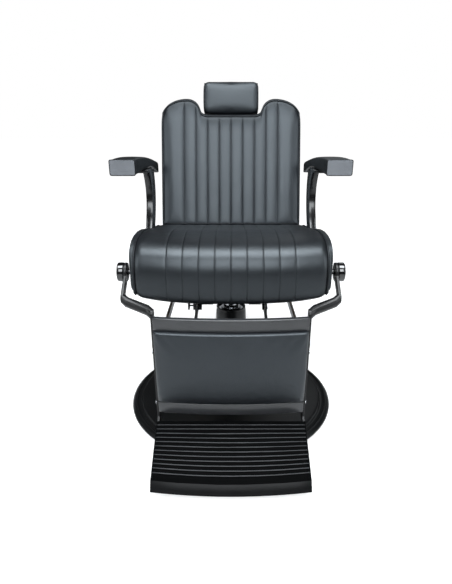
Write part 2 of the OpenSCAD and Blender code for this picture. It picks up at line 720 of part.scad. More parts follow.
// Cranked lever: down behind the seat, then forward under it to the link pin
crank_len = 95;
crank_back = 11;
crank_w = 22;
module crank_2d() {
    ky = hinge_y + crank_len * sin(crank_back);
    kz = hinge_z - crank_len * cos(crank_back);
    difference() {
        union() {
            strap_2d(hinge_y, hinge_z, ky, kz, crank_w);
            strap_2d(ky, kz, link_rear_y, link_z, crank_w);
        }
        translate([hinge_y, hinge_z]) circle(r = tube_r - over, $fn = fine);
    }
}
module lever_2d(y, z) {
    difference() {
        strap_2d(hinge_y, hinge_z, y, z, lever_w);
        translate([hinge_y, hinge_z]) circle(r = tube_r - over, $fn = fine);
    }
}
module back_board() {
    m = 14;
    color([0.5, 0.38, 0.25]) back_space() translate([0, board_y, 0]) rotate([quarter, 0, 0]) mirror([0, 0, 1]) linear_extrude(back_board_t)
        polygon(concat([for (x = back_flat_x()) [x, back_edge(x) - board_in]], [[back_w / 2 - board_in, back_low + soft_gap], [-back_w / 2 + board_in, back_low + soft_gap]]));
}
board_in = 12;
function back_flat_x() = let (h = back_w / 2 - board_in) [for (s = [-1, -0.98, -0.94, -0.88, -0.8, -0.7, -0.66, -0.6, -0.56, -0.5, -0.47, -0.44, -0.4, 0.4, 0.44, 0.47, 0.5, 0.56, 0.6, 0.66, 0.7, 0.8, 0.88, 0.94, 0.98, 1]) s * h];

// Backrest outline: two lobes with a notch between them for the headrest
notch_w2 = 104;
notch_wall = 116;
shoulder_w2 = 165;
shoulder_r = 50;
notch_drop = shoulder_r - sqrt(shoulder_r * shoulder_r - (shoulder_w2 - notch_wall) * (shoulder_w2 - notch_wall));
function ease(t) = t * t * (3 - 2 * t);
function back_edge(x) = let (
        a = abs(x),
        c = back_w / 2 - back_corner_r,
        n = a <= notch_w2 ? notch_depth : a >= shoulder_w2 ? 0
            : a < notch_wall ? notch_drop + (notch_depth - notch_drop) * (1 - ease((a - notch_w2) / (notch_wall - notch_w2)))
            : shoulder_r - sqrt(shoulder_r * shoulder_r - (shoulder_w2 - a) * (shoulder_w2 - a)),
        k = a > c ? back_corner_r - sqrt(max(0, back_corner_r * back_corner_r - (a - c) * (a - c))) : 0)
    back_top - n - k * corner_drop_share;
corner_drop_share = 0.72;
back_n = 8;
// Section of the backrest: share of thickness from the front, share of height, face flag
back_low_shares = [[0.9, 0], [0.5, 0], [0.2, 0.006], [0.05, 0.028], [0, 0.07]];
back_mid_shares = [0.16, 0.3, 0.45, 0.6, 0.75, 0.87];
back_tip_drop = 26;
back_end_shares = [[0.01, 0.62], [0.08, 0.24], [0.25, 0.05], [0.5, 0], [0.9, 0.04], [1, 0.22]];
function back_ring(x) = let (
        top = back_edge(x),
        a = abs(x),
        seam = seam_at(a, channel_w * back_n / 2),
        t = a / (back_w / 2),
        edge = pow(max(0, (t - edge_share) / (1 - edge_share)), 2),
        shrink = edge * edge_in,
        h = top - back_low)
    [for (s = concat(
            [for (b = back_low_shares) [b[0], back_low + b[1] * h, 0.3]],
            [for (m = back_mid_shares) [0, back_low + m * (h - back_tip_drop), 1]],
            [for (e = back_end_shares) [e[0], top - back_tip_drop * e[1], e[0] < 0.05 ? 0.6 : 0]],
            [[1, back_low + h * 0.5, 0], [1, back_low + over, 0]])) let (
        front = 1 - s[0],
        y = -back_front + s[0] * back_pad_t + front * shrink + s[2] * seam * channel_depth)
        [x, y, s[1]]];
back_edge_stops = [0.215, 0.411, 0.542, 0.673, 0.771, 0.853, 0.918, 0.968, 1];
notch_stops = [2, 2.15, 2.36, 2.44, 2.52, 2.58, 2.64, 2.72, 2.85, 3, 3.15, 3.5, 3.75];
function back_x_list() = let (
        w2 = back_w / 2,
        a = concat([for (i = [0:1]) for (s = seam_stops) (i + s) * channel_w],
            [for (s = notch_stops) s * channel_w]),
        last = (back_n / 2 + 0.15) * channel_w,
        b = [for (s = back_edge_stops) last + s * (w2 - last)],
        half = concat(a, [for (s = [0, 0.15]) (back_n / 2 + s) * channel_w], b),
        n = len(half))
    concat([for (i = [n - 1:-1:1]) -half[i]], half);
module back_cushion() {
    color([0.09, 0.09, 0.1]) back_space() skin([for (x = back_x_list()) back_ring(x)]);
}
shell_gap = 0.3;
guide_wall = 8;
guide_w = head_bar_w + 2 * guide_wall;
guide_low = 262;
guide_len = 170;
guide_y = upright_y;
guide_depth = head_bar_t + 6;
module back_shell() {
    color([0.09, 0.09, 0.1]) back_space() difference() {
        translate([0, upright_y + shell_gap, 0]) rotate([quarter, 0, 0]) mirror([0, 0, 1]) linear_extrude(back_shell_t)
            polygon(concat([for (x = back_flat_x()) [x * shell_share, back_edge(x * shell_share) - board_in]],
                [[(back_w / 2 - board_in) * shell_share, back_low + shell_rise], [-(back_w / 2 - board_in) * shell_share, back_low + shell_rise]]));
        both_x() translate([upright_x - upright_w / 2 - shell_gap, upright_y - over, back_low])
            cube([upright_w + 2 * shell_gap, upright_t + over + shell_gap, upright_top - back_low + shell_gap]);
        translate([-guide_w / 2 - shell_gap, upright_y - over, guide_low - shell_gap])
            cube([guide_w + 2 * shell_gap, guide_depth + over + shell_gap, back_top]);
    }
}
shell_share = 0.985;
shell_rise = 4;
// Guide that holds the headrest bar, and the bar itself
head_seat = 6;
head_z = back_top - notch_depth + head_seat;
bar_low = head_z - head_travel - 60;
module headrest_guide() {
    color([0.5, 0.5, 0.52]) back_space() difference() {
        translate([-guide_w / 2, guide_y, guide_low]) cube([guide_w, guide_depth, guide_len]);
        translate([-head_bar_w / 2 - run_gap, guide_y + (guide_depth - head_bar_t) / 2 - run_gap, guide_low - over])
            cube([head_bar_w + 2 * run_gap, head_bar_t + 2 * run_gap, guide_len + 2 * over]);
    }
}
head_back = 14;
head_y = upright_y + guide_depth / 2 + head_back - head_t;
head_bar_in = 60;
module headrest_bar() {
    color([0.8, 0.8, 0.82]) back_space() translate([-head_bar_w / 2, guide_y + (guide_depth - head_bar_t) / 2, bar_low])
        cube([head_bar_w, head_bar_t, head_z + head_bar_in - bar_low]);
}
head_x_shares = [-1, -0.985, -0.95, -0.88, -0.7, -0.4, 0, 0.4, 0.7, 0.88, 0.95, 0.985, 1];
head_in_shares = [0.16, 0.09, 0.03, 0, 0, 0, 0, 0, 0, 0, 0.03, 0.09, 0.16];
head_ring_n = 28;
head_power = 0.36;
module headrest_pad() {
    color([0.09, 0.09, 0.1]) back_space() difference() {
        skin([for (k = [0:len(head_x_shares) - 1]) let (c = head_in_shares[k] * head_t)
            [for (i = [0:head_ring_n - 1]) let (a = full * i / head_ring_n)
                [head_x_shares[k] * head_w / 2, head_y + head_t / 2 + (head_t / 2 - c) * soft_pow(cos(a), head_power),
                    head_z + head_h / 2 + (head_h / 2 - c) * soft_pow(sin(a), head_power)]]]);
        translate([-head_bar_w / 2 - groove_gap, guide_y + (guide_depth - head_bar_t) / 2 - groove_gap, head_z - over])
            cube([head_bar_w + 2 * groove_gap, head_bar_t + 2 * groove_gap, head_bar_in + over]);
    }
}

// Footrest side bars: flat above, a jog inwards, then down beside the calf panel
calf_lean = 3.65;
calf_top_z = 469;
calf_ahead = 134;
calf_front_y = pivot_y - calf_ahead;
// Footplate: its rear edge, and the side bars' legs that carry it from below
plate_set = 4;
plate_y = calf_front_y + plate_set;
plate_z = 131;
plate_t = 6;
leg_w = 24;
leg_tip_share = 0.97;
leg_back = 28;
leg_short = 34;
leg_sink = plate_t + leg_w / 2;
leg_y = plate_y + leg_back * cos(plate_slope) + leg_sink * sin(plate_slope);
leg_z = plate_z + leg_back * sin(plate_slope) - leg_sink * cos(plate_slope);
leg_run = plate_depth - leg_short + leg_back;
leg_tip_y = leg_y - leg_run * cos(plate_slope);
leg_tip_z = leg_z - leg_run * sin(plate_slope);
jog_top_z = 502;
jog_low_z = 470;
bar_mid_y = calf_front_y + bar_w / 2;
bar_run_y = bar_mid_y + bar_w * 0.3;
module calf_space() {
    translate([0, calf_front_y, calf_top_z]) rotate([calf_lean, 0, 0]) children();
}
jog_n = 4;
// A slice of the side bar where it bends inwards
module jog_disc(t, up_y, low_in) {
    side_slab(bar_in_x + (low_in - bar_in_x) * ease(t), bar_t)
        translate([up_y + (bar_run_y - up_y) * t, jog_top_z + (jog_low_z - jog_top_z) * t]) circle(d = bar_w, $fn = 24);
}
module footrest_bar(side) {
    up_y = pivot_y + (bar_run_y - pivot_y) * (hinge_z - jog_top_z) / (hinge_z - jog_low_z);
    low_in = calf_x - bar_t;
    color([0.05, 0.05, 0.055]) mirrored_x(side) {
        difference() {
            union() {
                side_slab(bar_in_x, bar_t) {
                    translate([pivot_y, hinge_z]) circle(r = eye_r, $fn = fine);
                    bar_2d(pivot_y, hinge_z, up_y, jog_top_z, bar_w);
                    translate([up_y, jog_top_z]) circle(d = bar_w, $fn = fine);
                }
                for (i = [0:jog_n - 1]) hull() {
                    jog_disc(i / jog_n, up_y, low_in);
                    jog_disc((i + 1) / jog_n, up_y, low_in);
                }
                side_slab(low_in, bar_t) {
                    strap_2d(bar_run_y, jog_low_z, leg_y, leg_z, bar_w);
                    bar_2d(leg_y, leg_z, leg_tip_y, leg_tip_z, leg_w);
                    translate([leg_tip_y, leg_tip_z]) circle(d = leg_w * leg_tip_share, $fn = fine);
                    strap_2d(link_front_y, link_z, link_front_y - bar_w * 0.2, link_z, bar_w);
                }
            }
            rod_x(shaft_r + run_gap, bar_in_x - over, bar_out_x + over, pivot_y, hinge_z);
            rod_x(pin_r, low_in - over, calf_x + over, link_front_y, link_z);
        }
    }
}
module footrest_bar_left() { footrest_bar(-1); }
module footrest_bar_right() { footrest_bar(1); }
// Calf panel between the bars: a bowed sheet with a raised strip at each end
panel_sheet_t = 6;
sheet_in = 5;
strip_t = 9;
calf_in = calf_x - bar_t;
calf_arc_r = (calf_in * calf_in + calf_bow * calf_bow) / (2 * calf_bow);
module bowed(z0, h, front, t) {
    translate([0, 0, z0]) intersection() {
        translate([0, calf_arc_r - front - calf_bow + sheet_in, 0]) difference() {
            cylinder(r = calf_arc_r, h = h, $fn = fine * 4);
            translate([0, 0, -over]) cylinder(r = calf_arc_r - t, h = h + 2 * over, $fn = fine * 4);
        }
        translate([-calf_in, -calf_bow * 6, 0]) cube([2 * calf_in, calf_bow * 6 + bar_w, h]);
    }
}
module calf_panel() {
    color([0.06, 0.06, 0.065]) calf_space() {
        bowed(-calf_h, calf_h, 0, panel_sheet_t);
        bowed(-strip_h, strip_h, strip_t, strip_t + over);
        bowed(-calf_h, strip_h, strip_t, strip_t + over);
    }
}
calf_n = 9;
calf_pad_in_shares = [0.55, 0.2, 0.05, 0, 0, 0, 0, 0.05, 0.2, 0.55];
calf_pad_x_shares = [-1, -0.985, -0.95, -0.8, -0.4, 0, 0.4, 0.8, 0.95, 0.985, 1];
calf_prof_shares = [[0, 0], [0.5, 0], [0.85, 0.02], [1, 0.08], [1, 0.5], [1, 0.92], [0.85, 0.98], [0.5, 1], [0, 1]];
module calf_pad() {
    h = calf_h - 2 * strip_h - 2 * soft_gap;
    w = calf_in - soft_gap;
    color([0.09, 0.09, 0.1]) calf_space() skin([for (s = calf_pad_x_shares) let (
            x = s * w, e = pow(max(0, (abs(s) - edge_share) / (1 - edge_share)), 2),
            y0 = calf_arc_r + sheet_in - calf_bow - sqrt(calf_arc_r * calf_arc_r - x * x) - soft_gap * 2,
            t = calf_pad_t * (1 - e * pad_edge_share))
        [for (p = calf_prof_shares) [x, y0 - p[0] * t, -calf_h + strip_h + soft_gap + p[1] * h]]]);
}
pad_edge_share = 0.6;
// Footplate: sloping plate with cross ribs, a plain front strip and a turned-down lip
rib_h = 3;
rib_w = 3.5;
rib_first = 12;
rib_pitch = (plate_depth - rib_first - rib_land - rib_w) / (rib_count - 1);
lip_len = 31;
lip_turn = 31.4;
plate_w = calf_w;
module plate_space() {
    translate([0, plate_y, plate_z]) rotate([plate_slope, 0, 0]) children();
}
plate_bow = 12;
plate_arc_n = 12;
function plate_arc(in) = [for (i = [0:plate_arc_n]) let (t = 2 * i / plate_arc_n - 1)
    [t * plate_w / 2, -plate_depth + plate_bow * t * t + in]];
module plate_2d() {
    polygon(concat([[-plate_w / 2, 0]], plate_arc(0), [[plate_w / 2, 0]]));
}
module footplate() {
    color([0.07, 0.07, 0.075]) plate_space() {
        translate([0, 0, -plate_t]) linear_extrude(plate_t) plate_2d();
        for (i = [0:rib_count - 1]) linear_extrude(rib_h)
            polygon(concat(rib_arc(i, 0), [for (k = [plate_arc_n:-1:0]) rib_arc(i, rib_w)[k]]));
        skin([for (p = plate_arc(0)) let (s = sin(lip_turn), c = cos(lip_turn)) [
            [p[0], p[1] + plate_t * s, -plate_t * c], [p[0], p[1] - lip_len * c + plate_t * s, -lip_len * s - plate_t * c],
            [p[0], p[1] - lip_len * c, -lip_len * s], [p[0], p[1], 0]]]);
    }
}
function rib_arc(i, in) = [for (p = plate_arc(0)) [p[0] * rib_x_share,
    (p[1] + plate_depth) * (rib_first + i * rib_pitch) / plate_depth - rib_first - i * rib_pitch - in]];
rib_x_share = 0.985;
module footrest_bolts() {
    color([0.8, 0.8, 0.82]) both_x() {
        for (z = [leg_z + leg_w * 2, link_z - lever_w])
            rod_x(pin_r * 0.8, calf_x, calf_x + bar_t * 0.5, leg_y + (bar_run_y - leg_y) * (z - leg_z) / (jog_low_z - leg_z), z);
    }
}

// Link bars and their front pins
module link_bars() {
    color([0.3, 0.3, 0.32]) both_x() side_slab(link_x - link_t / 2, link_t) difference() {
        strap_2d(link_front_y, link_z, link_rear_y, link_z, link_h);
        translate([link_front_y, link_z]) circle(r = pin_r + open_gap, $fn = fine);
        translate([link_rear_y, link_z]) circle(r = pin_r + run_gap, $fn = fine);
    }
}
open_gap = 0.1;
module link_pins() {
    color([0.75, 0.75, 0.77]) both_x() {
        rod_x(pin_r, link_x - link_t / 2 - side_gap, calf_x, link_front_y, link_z);
        rod_x(pin_r * 1.5, link_x + link_t / 2 + side_gap, calf_x - bar_t, link_front_y, link_z);
    }
}

// Gas struts, drawn along their own line from the front anchor
strut_len = norm([strut_dy - anchor_y, strut_dz - anchor_z]);
cyl_in_r = strut_rod_d / 2 + run_gap;
eye_out_r = 12;
slot_gap = anchor_bow + 0.8;
cyl_len = 230;
tail_r = 5;
piston_gap = 14;
module strut_space(x) {
    translate([x, anchor_y, anchor_z]) rotate([strut_lean, 0, 0]) rotate([-quarter, 0, 0]) children();
}
module strut_cylinder(x) {
    color([0.06, 0.06, 0.06]) strut_space(x) difference() {
        union() {
            translate([0, 0, rod_show]) cylinder(d = strut_d, h = cyl_len, $fn = fine);
            translate([0, 0, rod_show + cyl_len - over]) cylinder(r = tail_r, h = strut_len - rod_show - cyl_len - eye_out_r + 2 * over, $fn = fine);
            translate([-eye_w / 2, 0, strut_len]) rotate([0, quarter, 0]) cylinder(r = eye_out_r, h = eye_w, $fn = fine);
        }
        translate([0, 0, rod_show - over]) cylinder(r = cyl_in_r, h = cyl_len - piston_gap + over, $fn = fine);
        translate([-eye_w, 0, strut_len]) rotate([0, quarter, 0]) cylinder(r = strut_pin_r + run_gap, h = 2 * eye_w, $fn = fine);
    }
}
module strut_rod(x) {
    color([0.75, 0.75, 0.77]) strut_space(x) difference() {
        union() {
            cylinder(d = strut_rod_d, h = rod_show + rod_hold, $fn = fine);
            translate([-eye_w / 2, 0, 0]) rotate([0, quarter, 0]) cylinder(r = eye_out_r, h = eye_w, $fn = fine);
        }
        translate([-eye_w, 0, 0]) rotate([0, quarter, 0]) cylinder(r = anchor_pin_r + slot_gap, h = 2 * eye_w, $fn = fine);
    }
}
rod_hold = 60;
module strut_cylinder_left() { strut_cylinder(-strut_x); }
module strut_cylinder_right() { strut_cylinder(strut_x); }
module strut_rod_left() { strut_rod(-strut_x); }
module strut_rod_right() { strut_rod(strut_x); }
// Release head clamped round the left strut behind its collar
rel_len = 26;
rel_w = 28;
rel_rod = 12;
rel_z = 14;
rel_pin_r = 2.5;
module release_head() {
    color([0.1, 0.1, 0.1]) strut_space(-strut_x) {
        translate([0, 0, rod_show + rel_z]) difference() {
            translate([-rel_w / 2, -rel_w / 2, 0]) cube([rel_w, rel_w, rel_len]);
            translate([0, 0, -over]) cylinder(d = strut_d + 2 * groove_gap, h = rel_len + 2 * over, $fn = fine);
        }
        for (s = [-1, 1]) translate([-rel_w / 2 - rel_rod, s * rel_pin_r * 2, rod_show + rel_z + rel_len / 2]) rotate([0, quarter, 0])
            cylinder(r = rel_pin_r, h = rel_rod, $fn = fine);
        translate([-rel_w / 2 - rel_rod - rel_pin_r * 2, -rel_w / 2, rod_show + rel_z]) cube([rel_pin_r * 2, rel_w, rel_len]);
    }
}

// Pump pedal on its pin between the rails
pedal_hub_r = 15;
pedal_t = 12;
pedal_w = 26;
pedal_drop = 34;
pedal_pad_len = 64;
pedal_pad_w = 90;
pedal_pad_t = 12;
pedal_tip_y = pedal_pin_y + pedal_len;
pedal_tip_z = pedal_pin_z - pedal_drop;
module pedal_lever() {
    color([0.08, 0.08, 0.08]) side_slab(-pedal_t / 2, pedal_t) difference() {
        union() {
            translate([pedal_pin_y, pedal_pin_z]) circle(r = pedal_hub_r, $fn = fine);
            strap_2d(pedal_pin_y, pedal_pin_z, pedal_tip_y, pedal_tip_z, pedal_w);
        }
        translate([pedal_pin_y, pedal_pin_z]) circle(r = pedal_pin_r + run_gap, $fn = fine);
    }
}
module pedal_pad() {
    color([0.03, 0.03, 0.03]) translate([0, pedal_tip_y, pedal_tip_z]) rotate([-atan(pedal_drop / pedal_len), 0, 0])
        translate([-pedal_pad_w / 2, -pedal_pad_len / 2, pedal_w / 2 * eye_share]) cube([pedal_pad_w, pedal_pad_len, pedal_pad_t]);
}
// Recline release lever on the left side plate
release_drop = 20;
release_w = 18;
grip_r = 11;
grip_len = 62;
module release_lever() {
    color([0.75, 0.75, 0.77]) mirror([1, 0, 0]) side_slab(release_x, release_t) difference() {
        strap_2d(release_y, release_z, release_y + release_len, release_z - release_drop, release_w);
        translate([release_y, release_z]) circle(r = release_pin_r + run_gap, $fn = fine);
    }
}
module release_grip() {
    a = atan(release_drop / release_len);
    color([0.03, 0.03, 0.03]) translate([-release_x - release_t / 2, release_y + release_len, release_z - release_drop])
        rotate([-a, 0, 0]) rotate([-quarter, 0, 0]) translate([0, 0, release_w / 2 * eye_share]) cylinder(r = grip_r, h = grip_len, $fn = fine);
}

base_plate();
base_cover();
floor_ring();
pump_cylinder();
pump_shroud();
gland_ring();
pump_ram();
pump_head();
mount_plate();
mount_bolts();
seat_rails();
cross_tubes();
side_plate_left();
side_plate_right();
seat_board();
seat_cushion();
seat_side_left();
seat_side_right();
arm_post_left();
arm_post_right();
arm_bolts();
arm_pad_left();
arm_pad_right();
pivot_knob_left();
pivot_knob_right();
hinge_pins();
strut_anchor();
strut_pins();
back_frame();
back_board();
back_cushion();
back_shell();
headrest_guide();
headrest_bar();
headrest_pad();
footrest_bar_left();
footrest_bar_right();
calf_panel();
calf_pad();
footplate();
footrest_bolts();
link_bars();
link_pins();
strut_cylinder_left();
strut_cylinder_right();
strut_rod_left();
strut_rod_right();
release_head();
pedal_lever();
pedal_pad();
release_lever();
release_grip();
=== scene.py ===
import math, json
import bpy
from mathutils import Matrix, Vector


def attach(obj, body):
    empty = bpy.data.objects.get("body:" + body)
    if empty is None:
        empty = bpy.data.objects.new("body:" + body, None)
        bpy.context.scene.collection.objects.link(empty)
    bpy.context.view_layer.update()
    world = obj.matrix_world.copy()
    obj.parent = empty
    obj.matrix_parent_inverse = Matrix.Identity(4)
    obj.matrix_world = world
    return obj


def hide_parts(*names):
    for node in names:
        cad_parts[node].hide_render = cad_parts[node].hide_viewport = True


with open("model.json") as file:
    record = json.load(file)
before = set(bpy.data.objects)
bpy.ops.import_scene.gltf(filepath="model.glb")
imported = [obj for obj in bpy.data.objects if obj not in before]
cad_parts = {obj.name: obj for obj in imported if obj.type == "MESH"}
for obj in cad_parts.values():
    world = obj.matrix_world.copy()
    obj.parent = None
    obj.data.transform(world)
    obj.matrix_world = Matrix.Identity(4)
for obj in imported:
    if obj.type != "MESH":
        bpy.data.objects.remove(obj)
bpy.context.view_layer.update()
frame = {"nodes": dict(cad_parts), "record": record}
cad = frame["nodes"]
bodies = frame["record"]["behaviour"]["bodies"]

# Camera and studio: the photographer stood before the chair with the lens just above the arm pads.
# The chair stands on pale paper in pale air, with soft boxes above, in front, at both sides and behind.
scene = bpy.context.scene
scene.view_settings.view_transform = "Standard"
LENS_PLACE = (0.0, -1.514, 0.986)
LENS_PITCH = 20.61
FOCAL_PIXELS = 470
PHOTO_W, PHOTO_H = 452, 584
CHAIR_COLUMN = 231
SENSOR = 36
eye = bpy.data.cameras.new("photo_camera")
cam = bpy.data.objects.new("photo_camera", eye)
scene.collection.objects.link(cam)
scene.camera = cam
cam.location = LENS_PLACE
cam.rotation_euler = (math.radians(90 - LENS_PITCH), 0, 0)
eye.sensor_width = SENSOR
eye.lens = FOCAL_PIXELS / PHOTO_H * SENSOR
eye.shift_x = (PHOTO_W / 2 - CHAIR_COLUMN) / PHOTO_H
eye.clip_start = 0.05


def set_inputs(node, **values):
    """Sets a shader node's inputs by name, with _ for a space."""
    for name, value in values.items():
        node.inputs[name.replace("_", " ")].default_value = value
    return node


def add_node(tree, kind, **values):
    return set_inputs(tree.nodes.new("ShaderNode" + kind), **values)


def new_material(name):
    """A new material, its node tree and its surface shader."""
    m = bpy.data.materials.new(name)
    m.use_nodes = True
    return m, m.node_tree, m.node_tree.nodes["Principled BSDF"]


PAPER_SIZE, PAPER_DROP = 40, 0.0006
bpy.ops.object.select_all(action="DESELECT")
bpy.ops.mesh.primitive_plane_add(size=PAPER_SIZE, location=(0, 0, -PAPER_DROP))
floor = bpy.context.object
floor.name = "studio_floor"
paper, paper_tree, sheet = new_material("studio_paper")
set_inputs(sheet, Base_Color=(0.6, 0.6, 0.6, 1), Roughness=0.9, Specular_IOR_Level=0.1)
path = add_node(paper_tree, "LightPath")
glow = add_node(paper_tree, "Emission", Color=(1, 1, 1, 1))
level = add_node(paper_tree, "Math")
level.operation = "MULTIPLY"
# less glow close by, so that the chair's own shadow stays on the paper
place = add_node(paper_tree, "TexCoord")
reach = add_node(paper_tree, "VectorMath")
reach.operation = "LENGTH"
fade = add_node(paper_tree, "MapRange", From_Min=0.6, From_Max=3.0, To_Min=0.6, To_Max=1.0)
both = add_node(paper_tree, "AddShader")
paper_tree.links.new(place.outputs["Object"], reach.inputs[0])
paper_tree.links.new(reach.outputs["Value"], fade.inputs["Value"])
paper_tree.links.new(path.outputs["Is Camera Ray"], level.inputs[0])
paper_tree.links.new(fade.outputs["Result"], level.inputs[1])
paper_tree.links.new(level.outputs[0], glow.inputs["Strength"])
paper_tree.links.new(sheet.outputs[0], both.inputs[0])
paper_tree.links.new(glow.outputs[0], both.inputs[1])
paper_tree.links.new(both.outputs[0], paper_tree.nodes["Material Output"].inputs["Surface"])
floor.data.materials.append(paper)

air = bpy.data.worlds.new("studio_air")
scene.world = air
air.use_nodes = True
air_tree = air.node_tree
sky = set_inputs(air_tree.nodes["Background"], Color=(1, 1, 1, 1))
seen = add_node(air_tree, "LightPath")
# the camera sees white air, which gives the chair itself hardly any light
air_light = add_node(air_tree, "Mix", A=0.05, B=1.0)
air_tree.links.new(seen.outputs["Is Camera Ray"], air_light.inputs["Factor"])
air_tree.links.new(air_light.outputs["Result"], sky.inputs["Strength"])


def soft_box(name, place, aim, width, height, power):
    data = bpy.data.lights.new(name, "AREA")
    data.shape = "RECTANGLE"
    data.size = width
    data.size_y = height
    data.energy = power
    data.color = (0.93, 0.97, 1.0)
    lamp = bpy.data.objects.new(name, data)
    scene.collection.objects.link(lamp)
    lamp.location = place
    lamp.rotation_euler = (Vector(aim) - Vector(place)).to_track_quat("-Z", "Y").to_euler()


soft_box("soft_box_top", (0, -0.55, 2.9), (0, -0.2, 0.6), 2.6, 1.3, 125)
soft_box("soft_box_front", (0, -3.0, 2.6), (0, 0.3, 0.8), 3.0, 1.7, 124)
soft_box("soft_box_left", (-2.4, -1.2, 1.5), (0, 0, 0.6), 1.0, 1.8, 24)
soft_box("soft_box_right", (2.4, -1.2, 1.5), (0, 0, 0.6), 1.0, 1.8, 24)
soft_box("soft_box_rear", (0.4, 2.6, 2.2), (0, 0, 0.7), 2.0, 1.4, 6)

# Base: a round steel floor plate under a dished cover, enamelled satin black,
# on a rubber ring that grips the shop floor.


def paint(name, tone, rough, coat=0.0, peel=0.0, spread=0.04, metallic=0.0, level=0.5):
    """Paint or bare metal: a slightly clouded tone and gloss, with the skin of a sprayed coat."""
    m, t, s = new_material(name)
    at = add_node(t, "TexCoord")
    cloud = add_node(t, "TexNoise", Scale=14, Detail=6)
    t.links.new(at.outputs["Object"], cloud.inputs["Vector"])
    tint = add_node(t, "ValToRGB")
    dark_end, light_end = tint.color_ramp.elements
    dark_end.position, light_end.position = 0.3, 0.72
    dark_end.color = (*[c * 0.82 for c in tone], 1)
    light_end.color = (*[min(c * 1.18, 1) for c in tone], 1)
    t.links.new(cloud.outputs["Fac"], tint.inputs["Fac"])
    t.links.new(tint.outputs["Color"], s.inputs["Base Color"])
    gloss = add_node(t, "MapRange", To_Min=max(rough - spread, 0.02), To_Max=rough + spread)
    t.links.new(cloud.outputs["Fac"], gloss.inputs["Value"])
    t.links.new(gloss.outputs["Result"], s.inputs["Roughness"])
    skin = add_node(t, "TexNoise", Scale=260, Detail=2)
    t.links.new(at.outputs["Object"], skin.inputs["Vector"])
    lift = add_node(t, "Bump", Strength=peel, Distance=0.0008)
    t.links.new(skin.outputs["Fac"], lift.inputs["Height"])
    t.links.new(lift.outputs["Normal"], s.inputs["Normal"])
    set_inputs(s, Metallic=metallic, Specular_IOR_Level=level, Coat_Weight=coat, Coat_Roughness=0.06)
    return m


def pick(ob):
    """Makes this the only selected object, and the active one."""
    bpy.ops.object.select_all(action="DESELECT")
    ob.select_set(True)
    bpy.context.view_layer.objects.active = ob
    return ob


def dress(ob, m, body, slot, *nodes, fill=None):
    """Gives a new piece its material, the body that it rides on and the CAD nodes that it stands for."""
    ob.data.materials.clear()
    ob.data.materials.append(m)
    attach(ob, body)
    if nodes:
        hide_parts(*nodes)
    return ob


SAME_POINT = 0.00001
FLAT_ANGLE, EDGE_ANGLE, SMOOTH_ANGLE = math.radians(1), math.radians(32), math.radians(34)


def rounded(node, width, m, slot, steps=2):
    """The same piece with its sharp edges rounded, as rolled or linished metal has them."""
    ob = bpy.data.objects.new(node + "_finished", cad[node].data.copy())
    ob.data.name = ob.name
    scene.collection.objects.link(ob)
    pick(ob)
    bpy.ops.object.mode_set(mode="EDIT")
    bpy.ops.mesh.select_all(action="SELECT")
    bpy.ops.mesh.remove_doubles(threshold=SAME_POINT)
    bpy.ops.mesh.dissolve_limited(angle_limit=FLAT_ANGLE)
    bpy.ops.object.mode_set(mode="OBJECT")
    edge = ob.modifiers.new("edge", "BEVEL")
    edge.width = width
    edge.segments = steps
    edge.limit_method = "ANGLE"
    edge.angle_limit = EDGE_ANGLE
    edge.harden_normals = False
    edge.use_clamp_overlap = True
    bpy.ops.object.modifier_apply(modifier="edge")
    bpy.ops.object.shade_smooth_by_angle(angle=SMOOTH_ANGLE)
    return dress(ob, m, next(b for b, names in bodies.items() if node in names), slot, node)


def finish_node(node, m):
    """A CAD piece whose shape is right gets its finish."""
    for s in cad[node].material_slots:
        s.material = m


base_black = paint("satin_black_base", (0.0032, 0.0036, 0.004), 0.34, peel=0.15, level=0.36)
rubber = paint("ribbed_black_rubber", (0.02, 0.02, 0.02), 0.75, peel=0.5)
rounded("base_plate", 0.002, base_black, "black_enamel")
finish_node("base_cover", base_black)
finish_node("floor_ring", rubber)

# Pump: a hydraulic cylinder under a tapered steel shroud, with a hard chromed ram and gland ring.
# The ram carries the whole chair and turns in the cylinder.
chrome = paint("hard_chrome", (0.4, 0.41, 0.43), 0.16, metallic=1.0, peel=0.02)
satin = paint("satin_black_frame", (0.009, 0.009, 0.01), 0.38, peel=0.25)
finish_node("pump_shroud", base_black)
finish_node("pump_cylinder", satin)
for node in ("gland_ring", "pump_ram"):
    finish_node(node, chrome)

# Seat frame: welded flat steel and tube, painted satin black, with bright bolts and pins.
# The back's own frame and the struts' anchor are made the same way.
bolt = paint("zinc_bolt", (0.4, 0.41, 0.43), 0.26, metallic=1.0, peel=0.05)
for node in ("pump_head", "mount_plate", "seat_rails", "cross_tubes", "side_plate_left", "side_plate_right",
             "strut_anchor", "back_frame"):
    rounded(node, 0.0012, satin, "frame_black", steps=1)
for node in ("mount_bolts", "hinge_pins", "link_pins", "strut_pins", "arm_bolts", "footrest_bolts"):
    finish_node(node, bolt)

# Recline linkage: two ground flat bars between the cranked levers and the footrest,
# and a pair of gas struts with polished rods.
ground = paint("ground_steel_bar", (0.2, 0.2, 0.21), 0.3, metallic=0.9, peel=0.08, spread=0.08)
rounded("link_bars", 0.0015, ground, "link_steel")
strut_paint = paint("strut_lacquer", (0.02, 0.02, 0.022), 0.22, coat=0.4, peel=0.05)
for side in ("left", "right"):
    finish_node("strut_cylinder_" + side, strut_paint)
    finish_node("strut_rod_" + side, chrome)
rounded("release_head", 0.0015, satin, "frame_black")

